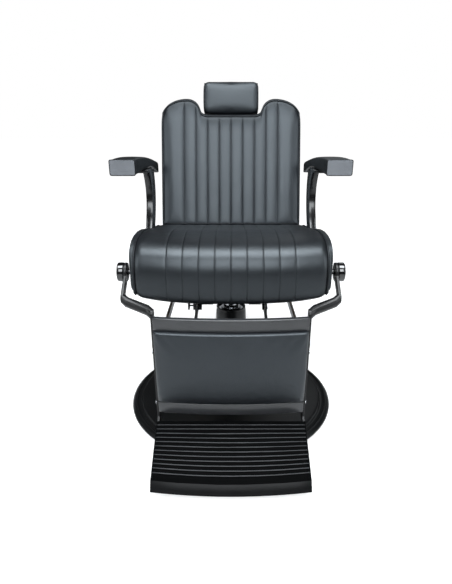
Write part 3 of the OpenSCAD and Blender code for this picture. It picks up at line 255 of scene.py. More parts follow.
# Boards: birch plywood that carries the seat and the back, seen only from below and behind.
# The leather is turned under and stapled over a black lining at their edges.
ply, ply_tree, ply_skin = new_material("birch_plywood")
ply_at = add_node(ply_tree, "TexCoord")
along_sheet = add_node(ply_tree, "Mapping", Scale=(3, 26, 26))
figure = add_node(ply_tree, "TexNoise", Scale=4, Detail=8, Distortion=1.2)
veneer = add_node(ply_tree, "ValToRGB")
late_wood, early_wood = veneer.color_ramp.elements
late_wood.position, early_wood.position = 0.35, 0.7
late_wood.color = (0.3, 0.19, 0.1, 1)
early_wood.color = (0.52, 0.37, 0.22, 1)
raised = add_node(ply_tree, "Bump", Strength=0.2, Distance=0.001)
ply_tree.links.new(ply_at.outputs["Object"], along_sheet.inputs["Vector"])
ply_tree.links.new(along_sheet.outputs["Vector"], figure.inputs["Vector"])
ply_tree.links.new(figure.outputs["Fac"], veneer.inputs["Fac"])
ply_tree.links.new(veneer.outputs["Color"], ply_skin.inputs["Base Color"])
ply_tree.links.new(figure.outputs["Fac"], raised.inputs["Height"])
ply_tree.links.new(raised.outputs["Normal"], ply_skin.inputs["Normal"])
set_inputs(ply_skin, Roughness=0.6)
lining = paint("black_board_lining", (0.01, 0.01, 0.011), 0.7, peel=0.3, level=0.2)
for node in ("seat_board", "back_board"):
    board = rounded(node, 0.001, ply, "plywood", steps=1)
    board.data.materials.append(lining)
    for f in board.data.polygons:
        if f.normal.y < -0.3 or abs(f.normal.x) > 0.3 or f.normal.z > 0.6:
            f.material_index = 1

# Seat cushion: a foam block under black leather, sewn in nine seams that run from the rear
# over the front roll, with wide plain sides and a corded seam along each side.


def leather(name, tone, rough=0.42, crease=0.3, grain=0.25, level=0.6):
    """Black leather: mottled tone and shine, slow folds, fine pores, and seams painted darker: the thread's
    own line with painted shade in its groove.
    """
    m, t, s = new_material(name)
    set_inputs(s, Specular_Tint=(0.84, 0.935, 1.0, 1))
    at = add_node(t, "TexCoord")
    mottle = add_node(t, "TexNoise", Scale=11, Detail=6, Roughness=0.62)
    tint = add_node(t, "ValToRGB")
    dark_end, light_end = tint.color_ramp.elements
    dark_end.position, light_end.position = 0.3, 0.74
    dark_end.color = (*[c * 0.84 for c in tone], 1)
    light_end.color = (*[c * 1.14 for c in tone], 1)
    t.links.new(at.outputs["Object"], mottle.inputs["Vector"])
    t.links.new(mottle.outputs["Fac"], tint.inputs["Fac"])
    # painted shade: a seam's thread line and the groove beside it, and the back's upper roll, are painted
    # darker and take no shine
    sewn = add_node(t, "Attribute")
    sewn.attribute_name = "stitch_and_shade"
    dark = add_node(t, "Mix")
    dark.data_type = "RGBA"
    set_inputs(dark, B=(*[c * 0.12 for c in tone], 1))
    t.links.new(sewn.outputs["Fac"], dark.inputs["Factor"])
    t.links.new(tint.outputs["Color"], dark.inputs["A"])
    t.links.new(dark.outputs["Result"], s.inputs["Base Color"])
    dull = add_node(t, "MapRange", To_Min=level, To_Max=0.05)
    t.links.new(sewn.outputs["Fac"], dull.inputs["Value"])
    t.links.new(dull.outputs["Result"], s.inputs["Specular IOR Level"])
    pebble = add_node(t, "TexVoronoi", Scale=520, Randomness=0.9)
    t.links.new(at.outputs["Object"], pebble.inputs["Vector"])
    slow = add_node(t, "TexNoise", Scale=13, Detail=4, Distortion=0.8)
    t.links.new(at.outputs["Object"], slow.inputs["Vector"])
    folds = add_node(t, "Bump", Strength=crease, Distance=0.006)
    t.links.new(slow.outputs["Fac"], folds.inputs["Height"])
    pores = add_node(t, "Bump", Strength=grain, Distance=0.0007)
    t.links.new(pebble.outputs["Distance"], pores.inputs["Height"])
    t.links.new(folds.outputs["Normal"], pores.inputs["Normal"])
    t.links.new(pores.outputs["Normal"], s.inputs["Normal"])
    shine = add_node(t, "MapRange", To_Min=rough - 0.06, To_Max=rough + 0.08)
    t.links.new(mottle.outputs["Fac"], shine.inputs["Value"])
    t.links.new(shine.outputs["Result"], s.inputs["Roughness"])
    return m


def smooth_run(points, steps):
    """Points on a smooth curve through the given ones, which are tuples of equal length."""
    out = []
    for i in range(len(points) - 1):
        a, b = points[max(i - 1, 0)], points[i]
        c, d = points[i + 1], points[min(i + 2, len(points) - 1)]
        for k in range(steps):
            u = k / steps
            out.append(tuple(0.5 * (2 * q + (r - p) * u + (2 * p - 5 * q + 4 * r - w) * u * u
                                    + (3 * q - p - 3 * r + w) * u ** 3) for p, q, r, w in zip(a, b, c, d)))
    return out + [points[-1]]


def sewn_body(name, rings, cap=(0.97, 0.86, 0.66, 0.4)):
    """A closed skin through rings of points, each end closed by smaller rings round a middle point."""
    n = len(rings[0])
    points = [p for ring in rings for p in ring]
    faces = [(i * n + j, i * n + (j + 1) % n, (i + 1) * n + (j + 1) % n, (i + 1) * n + j)
             for i in range(len(rings) - 1) for j in range(n)]
    for end, turn in ((0, True), (len(rings) - 1, False)):
        ring = rings[end]
        mid = [sum(p[k] for p in ring) / n for k in range(3)]
        before = [end * n + j for j in range(n)]
        for share in cap:
            now = list(range(len(points), len(points) + n))
            points += [tuple(mid[k] + (p[k] - mid[k]) * share for k in range(3)) for p in ring]
            for j in range(n):
                f = (before[j], before[(j + 1) % n], now[(j + 1) % n], now[j])
                faces.append(f[::-1] if turn else f)
            before = now
        points.append(tuple(mid))
        for j in range(n):
            f = (before[j], before[(j + 1) % n], len(points) - 1)
            faces.append(f[::-1] if turn else f)
    mesh = bpy.data.meshes.new(name)
    mesh.from_pydata([tuple(p) for p in points], [], faces)
    ob = bpy.data.objects.new(name, mesh)
    scene.collection.objects.link(ob)
    pick(ob)
    bpy.ops.object.mode_set(mode="EDIT")
    bpy.ops.mesh.select_all(action="SELECT")
    bpy.ops.mesh.normals_make_consistent(inside=False)
    bpy.ops.object.mode_set(mode="OBJECT")
    return ob


SWELL_FRAMES = 20


def puff(ob, held, most, pressure=3.0):
    """Air under the cover: cloth simulation swells the skin between its sewn points, and no point
    moves further than most."""
    start = [v.co.copy() for v in ob.data.vertices]
    grip = ob.vertex_groups.new(name="sewn")
    grip.add(sorted(held), 1.0, "REPLACE")
    air_in = ob.modifiers.new("air", "CLOTH")
    cover = air_in.settings
    cover.quality = 5
    cover.mass = 0.4
    cover.tension_stiffness = 12
    cover.compression_stiffness = 12
    cover.shear_stiffness = 5
    cover.bending_stiffness = 0.6
    cover.use_pressure = True
    cover.uniform_pressure_force = pressure
    cover.effector_weights.gravity = 0
    cover.vertex_group_mass = "sewn"
    cover.pin_stiffness = 1
    air_in.collision_settings.use_collision = False
    air_in.collision_settings.use_self_collision = False
    air_in.point_cache.frame_start = 1
    air_in.point_cache.frame_end = SWELL_FRAMES
    for f in range(1, SWELL_FRAMES + 1):
        scene.frame_set(f)
    swollen = ob.evaluated_get(bpy.context.evaluated_depsgraph_get()).to_mesh()
    ends = [v.co.copy() for v in swollen.vertices]
    ob.modifiers.remove(air_in)
    ob.vertex_groups.clear()
    scene.frame_set(1)
    for v, a, b in zip(ob.data.vertices, start, ends):
        step = b - a
        if step.length > most:
            step *= most / step.length
        v.co = a + step
    ob.data.update()


def finer(ob):
    """One more level of smooth faces, and smooth shading."""
    pick(ob)
    sub = ob.modifiers.new("smooth", "SUBSURF")
    sub.levels = 1
    sub.render_levels = 1
    bpy.ops.object.modifier_apply(modifier="smooth")
    bpy.ops.object.shade_smooth()


def welt(name, points, radius, m, body, loop=False):
    """A cord sewn into a seam: a round bead of the cover along an edge."""
    line = bpy.data.curves.new(name, "CURVE")
    line.dimensions = "3D"
    run = line.splines.new("POLY")
    run.points.add(len(points) - 1)
    for p, c in zip(run.points, points):
        p.co = (c[0], c[1], c[2], 1)
    run.use_cyclic_u = loop
    line.bevel_depth = radius
    line.bevel_resolution = 2
    line.use_fill_caps = True
    ob = bpy.data.objects.new(name, line)
    scene.collection.objects.link(ob)
    pick(ob)
    bpy.ops.object.convert(target="MESH")
    ob = bpy.context.object
    bpy.ops.object.shade_smooth()
    return dress(ob, m, body, "black_leather")


CHANNEL = 0.044
SEAMS_A_SIDE = 4
SEAM_HALF, LIP_HALF = 0.0005, 0.0015


def off_seam(x):
    """Distance of a place across a channelled cushion from its nearest seam."""
    a = abs(x) / CHANNEL
    return abs(a - min(round(a), SEAMS_A_SIDE)) * CHANNEL


def across(half):
    """Places across a channelled cushion: close together beside each seam, wider on the plain sides."""
    inner = sorted(s * (k + u) * CHANNEL for s in (-1, 1) for k in range(SEAMS_A_SIDE)
                   for u in (0, 0.028, 0.09, 0.25, 0.5, 0.75, 0.91, 0.972) if k + u or s > 0)
    side = [SEAMS_A_SIDE * CHANNEL + d for d in (0, 0.00123, 0.004, 0.011)]
    rest = half - side[-1]
    side += [side[-1] + rest * (1 - (1 - k / 13) ** 1.5) for k in range(1, 14)]
    return [-x for x in side[::-1]] + inner + side


def sew(ob, n, places, rows, ahead, groove, lip, valley, thread_and_shade):
    """Draws the cover in along each seam and marks the seam's own line with a value that paints it darker, as
    its thread and as painted shade in its groove.
    """
    seam_shade_values = ob.data.attributes.new("stitch_and_shade", "FLOAT", "POINT")
    for i, x in enumerate(places):
        off = off_seam(x)
        on = thread_and_shade if off < SEAM_HALF else 0.0
        dip = groove if off < SEAM_HALF else lip if off < LIP_HALF else 0.0
        dip += valley * max(0.0, 1 - off / (CHANNEL / 2)) ** 2
        for j, fade in rows:
            v = ob.data.vertices[i * n + j]
            v.co += ahead(i, j) * -dip * fade
            seam_shade_values.data[i * n + j].value = on * fade


SEAT_REAR, SEAT_FRONT = 0.224, -0.304
SEAT_DEPTH = SEAT_REAR - SEAT_FRONT
SEAT_LOW, SEAT_RISE = 0.5073, 0.158
SEAT_HALF = 0.2632
SEAT_BOW = 0.0218
BOARD_EDGE = -0.273
# shares of the cushion's depth from the rear and of its height, up the rear, over the top and down
seat_section = smooth_run([(0.05, 0), (0.018, 0.06), (0.003, 0.25), (0, 0.46), (0.008, 0.62),
                           (0.03, 0.77), (0.065, 0.88), (0.115, 0.955), (0.18, 0.992), (0.25, 1),
                           (0.34, 0.985), (0.45, 0.93), (0.56, 0.86), (0.68, 0.79), (0.8, 0.72),
                           (0.9, 0.665), (0.96, 0.625), (0.992, 0.55), (1, 0.42), (1, 0.1), (0.985, 0)], 6)
seat_section += [(0.985 - 0.935 * k / 40, 0.0) for k in range(1, 40)]
seat_across = across(SEAT_HALF)


def seat_face(d, h):
    """The way the cover faces at a point of the section."""
    return Vector((0, (d - 0.5) * SEAT_DEPTH, (h - 0.5) * SEAT_RISE * 2.4)).normalized()


def seat_ring(x, inset=0.0):
    """The seat's side profile at one place across it."""
    t = abs(x) / SEAT_HALF
    drawn_in = max(0.0, (t - 0.93) / 0.07) ** 2 * 0.006 + inset
    out = []
    for d, h in seat_section:
        z = h * SEAT_RISE
        if h < 0.3:
            z += 0.002 * t * t * (1 - h / 0.3) * min(1.0, (0.985 - d) / 0.9)
        u = seat_face(d, h)
        y = SEAT_REAR - SEAT_DEPTH * (1 - d) - u.y * drawn_in - SEAT_BOW * (1 - t * t) * (1 - d) ** 2
        if h > 0.0005:
            z -= u.z * drawn_in
        # the cover hangs a little below the board's edge in front of it
        before_board = min(1.0, max(0.0, (BOARD_EDGE - y) / 0.018))
        hang = (0.002 + 0.013 * (1 - t ** 4)) * before_board * max(0.0, 1 - h / 0.35)
        out.append((x, y, SEAT_LOW + max(0.0, z) - hang))
    return out


seat_leather = leather("seat_leather", (0.002, 0.0024, 0.0034), 0.39, crease=0.2, grain=0.12)
cord_leather = leather("welt_leather", (0.004, 0.004, 0.005), 0.5, crease=0.05, level=0.3)
seat = sewn_body("seat_cushion_cover", [seat_ring(x) for x in seat_across])
n = len(seat_section)
seat_rows = [(j, min(1.0, (h - 0.02) / 0.04, (0.975 - d) / 0.03)) for j, (d, h) in enumerate(seat_section)
             if h > 0.02 and d < 0.975]
held = set(range(len(seat_across) * n, len(seat.data.vertices)))
for i, x in enumerate(seat_across):
    for j, (d, h) in enumerate(seat_section):
        if h < 0.03 or d > 0.985 or off_seam(x) < LIP_HALF or abs(x) > SEAT_HALF * 0.985:
            held.add(i * n + j)
puff(seat, held, 0.002)
sew(seat, n, seat_across, seat_rows, lambda i, j: seat_face(*seat_section[j]),
    groove=0.0018, lip=0.0004, valley=0.0004, thread_and_shade=0.5)
finer(seat)
dress(seat, seat_leather, "seat", "black_leather", "seat_cushion", fill=0.8)
SEAT_WELT_X, SEAT_WELT_R = 0.2662, 0.0032
for side, s in (("left", -1), ("right", 1)):
    # the cord runs from low on the rear over the top to the front's lower edge
    edge = [(s * SEAT_WELT_X, p[1], p[2]) for p in seat_ring(SEAT_HALF, 0.0005)[5:108:2]]
    welt("seat_welt_" + side, edge, SEAT_WELT_R, cord_leather, "seat")

# Backrest: a foam pad on a plywood board, sewn in nine upright seams with wide plain sides,
# two rounded lobes above and a notch between them where the headrest sits.
BACK_LEAN = math.radians(16.5)
HINGE_Y, HINGE_Z = 0.26, 0.557


def on_back(x, y, z):
    """A place given along the leaning back, as a place in the room."""
    return Vector((x, HINGE_Y + y * math.cos(BACK_LEAN) + z * math.sin(BACK_LEAN),
                   HINGE_Z - y * math.sin(BACK_LEAN) + z * math.cos(BACK_LEAN)))


BACK_HALF, BACK_LOW, BACK_TOP = 0.2628, 0.030, 0.510
BACK_FRONT, BACK_THICK = -0.017, 0.062
NOTCH_HALF, NOTCH_WALL, NOTCH_DEPTH = 0.088, 0.1165, 0.058
LOBE_X, LOBE_R = 0.165, 0.050
CORNER_R, CORNER_FLATNESS = 0.095, 0.72
SIDE_ROLL, SIDE_ROLL_SHARE = 0.012, 0.1


def back_edge(x):
    """Height of the backrest's upper edge along its width."""
    a = abs(x)
    wall_drop = LOBE_R - math.sqrt(LOBE_R ** 2 - (LOBE_X - NOTCH_WALL) ** 2)
    drop = 0.0
    if a <= NOTCH_HALF:
        drop = NOTCH_DEPTH
    elif a < NOTCH_WALL:
        u = (a - NOTCH_HALF) / (NOTCH_WALL - NOTCH_HALF)
        drop = wall_drop + (NOTCH_DEPTH - wall_drop) * math.sqrt(1 - u * u)
    elif a < LOBE_X:
        drop = LOBE_R - math.sqrt(LOBE_R ** 2 - (LOBE_X - a) ** 2)
    past = max(0.0, a - (BACK_HALF - CORNER_R))
    corner_drop = CORNER_R - math.sqrt(max(0.0, CORNER_R ** 2 - past ** 2))
    return BACK_TOP - drop - corner_drop * CORNER_FLATNESS


def side_roll(x):
    """How far the face turns back towards the cushion's side edges."""
    return max(0.0, (abs(x) / BACK_HALF - 1 + SIDE_ROLL_SHARE) / SIDE_ROLL_SHARE) ** 2 * SIDE_ROLL


lobe_places = (0.102, 0.1065, 0.1095, 0.1135, 0.1165, 0.126, 0.147, 0.158)
back_across = sorted(across(BACK_HALF) + [s * x for s in (-1, 1) for x in lobe_places])
# the face starts at a share of the height and ends some way below the top, and the rear is lower at both ends
FACE_FOOT, FACE_HEAD, FACE_ROWS = 0.032, 0.048, 49
REAR_FOOT, REAR_HEAD = 0.003, 0.009
# shares of the thickness, with shares of the height in the foot's curve and metres in the head's
foot_curve = smooth_run([(0.97, 0.0), (0.8, 0.0), (0.5, 0.0), (0.22, 0.003), (0.06, 0.013),
                         (0.0, FACE_FOOT)], 4)[:-1]
head_curve = smooth_run([(0.0, FACE_HEAD), (0.016, 0.032), (0.075, 0.016), (0.19, 0.005), (0.4, 0.0),
                         (0.7, 0.0), (0.92, 0.002), (1.0, REAR_HEAD)], 4)


def back_ring(x):
    """The backrest's upright section at one place across it."""
    top = back_edge(x)
    h = top - BACK_LOW
    face = h * (1 - FACE_FOOT) - FACE_HEAD
    out = [(d, BACK_LOW + z * h) for d, z in foot_curve]
    out += [(0.0, BACK_LOW + FACE_FOOT * h + face * k / FACE_ROWS) for k in range(FACE_ROWS)]
    out += [(d, top - z) for d, z in head_curve]
    out += [(1.0, top - REAR_HEAD - (h - REAR_HEAD - REAR_FOOT) * k / 8) for k in range(1, 8)]
    out.append((1.0, BACK_LOW + REAR_FOOT))
    return [on_back(x, BACK_FRONT + d * BACK_THICK + (1 - d) * side_roll(x), z) for d, z in out]


back_leather = leather("back_leather", (0.006, 0.007, 0.009), 0.42, crease=0.18, grain=0.14)
back = sewn_body("back_cushion_cover", [back_ring(x) for x in back_across])
n = len(back_ring(0))
first = len(foot_curve)
last = first + FACE_ROWS
back_rows = [(j, min(1.0, (j - first + 9) / 8, (last + 10 - j) / 8)) for j in range(first - 8, last + 10)]
held = set(range(len(back_across) * n, len(back.data.vertices)))
for i, x in enumerate(back_across):
    for j in range(n):
        rear = j > last + len(head_curve) - 6 or j < 5
        seam = off_seam(x) < LIP_HALF and first - 6 <= j < last + 12
        if rear or seam or abs(x) > BACK_HALF * 0.99:
            held.add(i * n + j)
puff(back, held, 0.0028)
ahead = on_back(0, -1, 0) - on_back(0, 0, 0)
sew(back, n, back_across, back_rows, lambda i, j: ahead, groove=0.0021, lip=0.0006, valley=0.002, thread_and_shade=0.55)
# painted shade: the cover is painted darker and loses its shine where it turns over to the corded edge
upper_roll_shade = back.data.attributes["stitch_and_shade"].data
for i in range(len(back_across)):
    for j in range(last - 2, last + len(head_curve)):
        upper_roll_shade[i * n + j].value = max(upper_roll_shade[i * n + j].value, 0.55 * min(1.0, (j - last + 3) / 8))
finer(back)
dress(back, back_leather, "back", "black_leather", "back_cushion", fill=0.7)

# Corded seam of the backrest: one bead all round its face, sewn in where the face meets the sides.
BACK_WELT_R, BACK_WELT_IN, BACK_WELT_SUNK = 0.0028, 0.006, 0.0012
BACK_WELT_LOW, BACK_WELT_HIGH = BACK_LOW + BACK_WELT_IN + 0.004, BACK_WELT_IN + 0.006
FOOT_REACH, FOOT_ROLL = 0.016, 0.010
HEAD_REACH, HEAD_ROLL = 0.04, 0.013


def back_round():
    """Points round the face of the back, a little in from its outline."""
    side = BACK_HALF - BACK_WELT_IN
    low = BACK_WELT_LOW
    high = back_edge(side) - BACK_WELT_HIGH
    line = [(-side + 2 * side * k / 60, low) for k in range(61)]
    line += [(side, low + (high - low) * k / 24) for k in range(1, 24)]
    for k in range(121):
        x = side - 2 * side * k / 120
        line.append((x, back_edge(x) - BACK_WELT_HIGH))
    line += [(-side, high - (high - low) * k / 24) for k in range(1, 24)]
    out = []
    for x, z in line:
        foot_roll = max(0.0, 1 - (z - BACK_LOW) / FOOT_REACH) ** 2 * FOOT_ROLL
        head_roll = max(0.0, 1 - (back_edge(x) - z) / HEAD_REACH) ** 2 * HEAD_ROLL
        out.append(on_back(x, BACK_FRONT + side_roll(x) + foot_roll + head_roll - BACK_WELT_SUNK, z))
    return out


welt("back_welt", back_round(), BACK_WELT_R, cord_leather, "back", loop=True)

# Rear shell: a leather covered board that closes the back, with rounded edges,
# let in round the frame's uprights and the headrest guide.
shell_leather = leather("shell_leather", (0.005, 0.006, 0.007), 0.45)
shell = rounded("back_shell", 0.005, shell_leather, "black_leather", steps=3)

# Headrest: a moulded foam block in leather, boxed at both ends, on a flat steel bar
# that slides in a guide on the back.
bar_steel = paint("brushed_headrest_bar", (0.62, 0.63, 0.65), 0.22, metallic=1.0, peel=0.1)
rounded("headrest_guide", 0.001, satin, "frame_black", steps=1)
rounded("headrest_bar", 0.0008, bar_steel, "bright_steel", steps=1)
HEAD_HALF, HEAD_LOW, HEAD_HIGH = 0.1045, 0.458, 0.577
HEAD_FRONT, HEAD_REAR = 0.0013, 0.0753
HEAD_END_R = 0.021
HEAD_SQUARENESS = 0.42
HEAD_POINTS = 72
HEAD_SEAM = 0.95


def head_ring(s):
    """One upright section of the headrest at a share of its half width, smaller towards its rounded ends."""
    x = s * HEAD_HALF
    u = max(0.0, (abs(x) - (HEAD_HALF - HEAD_END_R)) / HEAD_END_R)
    pull = HEAD_END_R * (1 - math.sqrt(max(0.0, 1 - u * u)))
    half_high = (HEAD_HIGH - HEAD_LOW) / 2 - pull * 0.8
    half_deep = (HEAD_REAR - HEAD_FRONT) / 2 - pull * 0.7
    zc, yc = (HEAD_LOW + HEAD_HIGH) / 2, (HEAD_FRONT + HEAD_REAR) / 2
    out = []
    for k in range(HEAD_POINTS):
        a = 2 * math.pi * k / HEAD_POINTS
        ca, sa = math.cos(a), math.sin(a)
        py = yc - half_deep * math.copysign(abs(ca) ** HEAD_SQUARENESS, ca)
        pz = zc + half_high * math.copysign(abs(sa) ** HEAD_SQUARENESS, sa)
        out.append(on_back(x, py, pz))
    return out


head_stations = [k / 12 for k in range(10)] + [0.8, 0.84, 0.88, 0.92, HEAD_SEAM, 0.975, 0.99, 1]
head_stations = [-s for s in head_stations[:0:-1]] + head_stations
head_leather = leather("headrest_leather", (0.004, 0.005, 0.0064), 0.46, crease=0.1, grain=0.14, level=0.52)
head = sewn_body("headrest_cover", [head_ring(s) for s in head_stations], cap=(0.96, 0.84, 0.62, 0.36))
held = {len(head.data.vertices) - 1}
for i, s in enumerate(head_stations):
    if abs(s) == HEAD_SEAM:
        held.update(range(i * HEAD_POINTS, (i + 1) * HEAD_POINTS))
puff(head, held, 0.004)
finer(head)
dress(head, head_leather, "headrest", "black_leather", "headrest_pad", fill=0.8)
HEAD_WELT_R, PROUD = 0.0022, 1.012
for side, s in (("left", -HEAD_SEAM), ("right", HEAD_SEAM)):
    ring = head_ring(s)
    c = sum(ring, Vector()) / len(ring)
    welt("headrest_welt_" + side, [c + (p - c) * PROUD for p in ring], HEAD_WELT_R, cord_leather, "headrest",
         loop=True)

# Arm posts: cast iron, enamelled gloss black, each in one piece with the bracket that carries
# its armrest.
enamel = paint("gloss_black_enamel", (0.004, 0.004, 0.0045), 0.2, coat=0.15, peel=0.04)
for node in ("arm_post_left", "arm_post_right"):
    rounded(node, 0.0035, enamel, "black_enamel", steps=3)

# Pivot knobs: turned steel cylinders, polished black, each on the thinner shaft that the
# footrest swings on.
KNOB_R, KNOB_LONG, KNOB_X = 0.028, 0.02, 0.32
SHAFT_R, SHAFT_LONG, SHAFT_X = 0.0079, 0.0465, 0.28725
PIVOT_Y, PIVOT_Z = -0.206, 0.557


def bar_across(radius, long, x, sides):
    """A round bar on the front pivot's line, which runs across the chair."""
    bpy.ops.mesh.primitive_cylinder_add(vertices=sides, radius=radius, depth=long,
                                        location=(x, PIVOT_Y, PIVOT_Z), rotation=(0, math.pi / 2, 0))
    return bpy.context.object


knob_black = paint("polished_black_knob", (0.003, 0.003, 0.0035), 0.12, coat=1.0)
for side, name in ((-1, "left"), (1, "right")):
    knob = bar_across(KNOB_R, KNOB_LONG, side * KNOB_X, 72)
    bar_across(SHAFT_R, SHAFT_LONG, side * SHAFT_X, 48)
    knob.select_set(True)
    bpy.context.view_layer.objects.active = knob
    bpy.ops.object.join()
    bpy.ops.object.transform_apply(location=True, rotation=True, scale=True)
    knob.name = "pivot_knob_turned_" + name
    turned = knob.modifiers.new("turned", "BEVEL")
    turned.width = 0.004
    turned.segments = 4
    turned.angle_limit = math.radians(40)
    bpy.ops.object.modifier_apply(modifier="turned")
    bpy.ops.object.shade_smooth_by_angle(angle=SMOOTH_ANGLE)
    dress(knob, knob_black, "seat", "black_enamel", "pivot_knob_" + name)

# Armrests: foam under tightly drawn leather, level in front and drooping behind the post,
# with a square front end that has a panel of its own and a cord round it. That panel is painted in a far
# lighter copy of the pad's leather, a painted highlight for the light that falls on it.
ARM_FRONT, ARM_REAR, ARM_X, ARM_HALF = -0.12, 0.36, 0.314, 0.037
ARM_LOW, ARM_TOP, ARM_DROOP = 0.822, 0.866, 0.052
ARM_SQUARENESS, ARM_POINTS = 0.15, 48
NOSE_SHARE, NOSE_IN = 0.006, 0.0012
TAIL_SHARE, TAIL_IN, TAIL_DOWN = 0.1, 0.004, 0.008
END_FACE_Y, END_WELT_Y, END_RING_Y, END_WELT_R = -0.1192, -0.1184, -0.1165, 0.0014


def arm_section(y, side):
    """A section of the armrest, square with rounded corners, at one place along its length."""
    s = (y - ARM_FRONT) / (ARM_REAR - ARM_FRONT)
    low = ARM_LOW - ARM_DROOP * max(0.0, (s - 0.52) / 0.48) ** 1.7
    top = ARM_TOP - ARM_DROOP * max(0.0, (s - 0.12) / 0.88) ** 1.6
    zc = (low + top) / 2
    tail = max(0.0, (s - 1 + TAIL_SHARE) / TAIL_SHARE)
    nose = max(0.0, 1 - s / NOSE_SHARE)
    half_wide = ARM_HALF - TAIL_IN * tail ** 2 - NOSE_IN * nose ** 2
    half_high = (top - low) / 2 - TAIL_DOWN * tail ** 2 - NOSE_IN * nose ** 2
    out = []
    for k in range(ARM_POINTS):
        a = 2 * math.pi * k / ARM_POINTS
        ca, sa = math.cos(a), math.sin(a)
        px = ARM_X + half_wide * math.copysign(abs(ca) ** ARM_SQUARENESS, ca)
        pz = zc + half_high * math.copysign(abs(sa) ** ARM_SQUARENESS, sa)
        out.append((side * px, y, pz))
    return out


arm_stops = [ARM_FRONT, -0.1185, END_RING_Y, -0.114, -0.108] + [-0.10 + 0.43 * k / 44 for k in range(45)]
arm_stops += [0.338, 0.346, 0.352, 0.3565, ARM_REAR]
arm_leather = leather("armrest_leather", (0.0015, 0.0018, 0.0023), 0.42, crease=0.08, level=0.34)
# painted highlight: the same black leather, far lighter, for the lit front end
lit_end_leather = leather("armrest_end_painted_highlight", (0.12, 0.125, 0.136), 0.5, crease=0.05)
for side, name in ((-1, "left"), (1, "right")):
    pad = sewn_body("arm_pad_cover_" + name, [arm_section(y, side) for y in arm_stops],
                    cap=(0.97, 0.88, 0.6, 0.3))
    held = set(range(len(arm_stops) * ARM_POINTS, len(pad.data.vertices)))
    for i, y in enumerate(arm_stops):
        for k in range(ARM_POINTS):
            underside = math.sin(2 * math.pi * k / ARM_POINTS) < -0.2
            if underside or y < -0.09 or y > 0.352:
                held.add(i * ARM_POINTS + k)
    puff(pad, held, 0.0025, pressure=2.0)
    finer(pad)
    dress(pad, arm_leather, "seat", "black_leather", "arm_pad_" + name, fill=0.7)
    # the front end panel takes the lighter copy, a painted highlight
    pad.data.materials.append(lit_end_leather)
    for f in pad.data.polygons:
        if f.center.y < END_FACE_Y and f.normal.y < -0.8:
            f.material_index = 1
    ring = [(x, END_WELT_Y, z) for x, y, z in arm_section(END_RING_Y, side)]
    welt("arm_welt_" + name, ring, END_WELT_R, cord_leather, "seat", loop=True)

# Side panels: leather covered boards outside the side plates, cut round the posts and pivots.
# Their front corner is drawn up under the seat, as the cushion beside it is.
PANEL_LOW, CORNER_TOP, CORNER_Y, CORNER_UP = 0.507, 0.547, -0.262, 0.004
panel_leather = leather("side_panel_leather", (0.004, 0.0045, 0.0055), 0.42)
for name in ("left", "right"):
    panel = rounded("seat_side_" + name, 0.004, panel_leather, "black_leather", steps=3)
    for v in panel.data.vertices:
        if v.co.y < CORNER_Y and v.co.z < CORNER_TOP:
            v.co.z += CORNER_UP * (1 - (v.co.z - PANEL_LOW) / (CORNER_TOP - PANEL_LOW))

# Footrest: bent flat bars hang from the front pivots, with a bowed steel calf panel between
# them. A leather pad lies on the panel, between its bare upper and lower strips.
bar_paint = paint("footrest_bar_enamel", (0.004, 0.004, 0.0045), 0.34, peel=0.08, level=0.35)
for name in ("left", "right"):
    rounded("footrest_bar_" + name, 0.0015, bar_paint, "black_enamel", steps=2)
panel_paint = paint("calf_panel_enamel", (0.018, 0.019, 0.021), 0.32, coat=0.3, peel=0.12, level=0.6)
rounded("calf_panel", 0.0025, panel_paint, "frame_black", steps=3)
CALF_TOP_Y, CALF_TOP_Z = -0.34, 0.469
CALF_LEAN = math.radians(3.65)
CALF_LONG, CALF_STRIP = 0.316, 0.038
CALF_ARC_HALF, CALF_BOW, CALF_FACE = 0.215, 0.013, 0.005
CALF_ARC_R = (CALF_ARC_HALF ** 2 + CALF_BOW ** 2) / (2 * CALF_BOW)
PAD_GAP, PAD_THICK, PAD_HALF = 0.0006, 0.024, 0.2147
PAD_LOW, PAD_HIGH = -CALF_LONG + CALF_STRIP + PAD_GAP, -CALF_STRIP - PAD_GAP


def on_calf(x, y, z):
    """A place given along the leaning calf panel, as a place in the room."""
    return Vector((x, CALF_TOP_Y + y * math.cos(CALF_LEAN) - z * math.sin(CALF_LEAN),
                   CALF_TOP_Z + y * math.sin(CALF_LEAN) + z * math.cos(CALF_LEAN)))


# shares of the pad's thickness and height: out along its foot, up its face, over its head and down its rear
calf_head = smooth_run([(0.0, 0.0), (0.4, 0.0), (0.78, 0.008), (0.95, 0.035), (1.0, 0.09)], 3)[:-1]
calf_section = smooth_run([(0.0, 0.0), (0.26, 0.0), (0.42, 0.008), (0.6, 0.04), (0.78, 0.095), (0.92, 0.165),
                           (1.0, 0.26)], 4)[:-1]
calf_section += [(1.0, 0.26 + 0.65 * k / 22) for k in range(23)]
calf_section += [(d, 1 - z) for d, z in calf_head[::-1]]
calf_section += [(0.0, 1 - (k + 1) / 10) for k in range(9)]


def calf_ring(s):
    """The calf pad's side profile at a share of its half width, thinner at its side edges."""
    x = s * PAD_HALF
    edge = max(0.0, (abs(s) - 0.94) / 0.06) ** 2
    rear = CALF_ARC_R - math.sqrt(CALF_ARC_R ** 2 - x * x) - CALF_BOW + CALF_FACE - PAD_GAP
    thick = PAD_THICK * (1 - edge * 0.45)
    return [on_calf(x, rear - d * thick, PAD_LOW + (PAD_HIGH - PAD_LOW) * z) for d, z in calf_section]


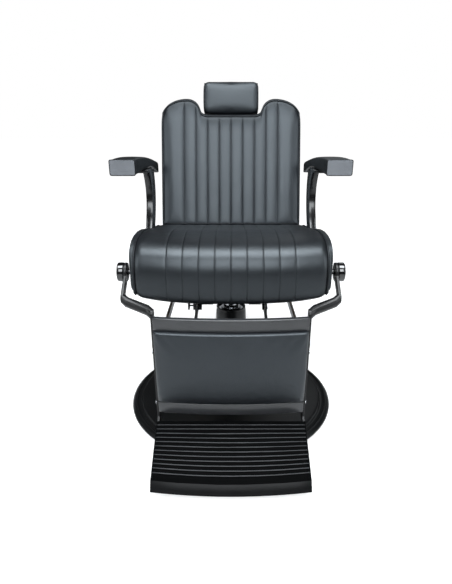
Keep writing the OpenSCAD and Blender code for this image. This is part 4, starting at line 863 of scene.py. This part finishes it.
calf_stations = [-1, -0.995, -0.985, -0.97, -0.95] + [k / 26 for k in range(-24, 25)]
calf_stations += [0.95, 0.97, 0.985, 0.995, 1]
calf_leather = leather("calf_pad_leather", (0.008, 0.009, 0.011), 0.4, crease=0.3)
calf = sewn_body("calf_pad_cover", [calf_ring(s) for s in calf_stations])
n = len(calf_section)
held = set(range(len(calf_stations) * n, len(calf.data.vertices)))
for i, s in enumerate(calf_stations):
    for j, (d, z) in enumerate(calf_section):
        if d < 0.9 or abs(s) > 0.984:
            held.add(i * n + j)
puff(calf, held, 0.006)
finer(calf)
dress(calf, calf_leather, "footrest", "black_leather", "calf_pad", fill=0.5)

# Footplate: a bowed step of black anodised aluminium on the footrest's bars, with raised ribs
# whose tops are painted lighter as a highlight, and a front strip that is turned down.
STEP_EDGE_Y, STEP_EDGE_Z = -0.336, 0.131
SLOPE = math.radians(28.6)
RIB_UP, STRIP_DOWN = 0.0024, -0.0002
tread = paint("anodised_tread_plate", (0.001, 0.0012, 0.0013), 0.6, peel=0.4, level=0.02)
rib_top_highlight = paint("tread_rib_painted_highlight", (0.018, 0.019, 0.021), 0.45, peel=0.4, level=0.25)
front_strip = paint("tread_front_strip", (0.0022, 0.0024, 0.0026), 0.42, peel=0.3, level=0.15)
step = rounded("footplate", 0.0008, tread, "tread_aluminium", steps=2)
step.data.materials.append(rib_top_highlight)
step.data.materials.append(front_strip)
for f in step.data.polygons:
    c = f.center
    up = (c.z - STEP_EDGE_Z) * math.cos(SLOPE) - (c.y - STEP_EDGE_Y) * math.sin(SLOPE)
    # the rib tops take the lighter paint, a painted highlight
    if up > RIB_UP and f.normal.z > 0.6:
        f.material_index = 1
    elif up < STRIP_DOWN and f.normal.y < -0.2:
        f.material_index = 2

# Levers: the pump pedal behind the base with its rubber foot pad, and the recline lever
# beside the seat with its moulded grip.
rounded("pedal_lever", 0.0015, satin, "frame_black")
rounded("pedal_pad", 0.002, rubber, "black_rubber")
rounded("release_lever", 0.0012, bolt, "bright_steel")
grip = paint("moulded_grip", (0.02, 0.02, 0.021), 0.5, peel=0.3)
rounded("release_grip", 0.002, grip, "black_rubber")
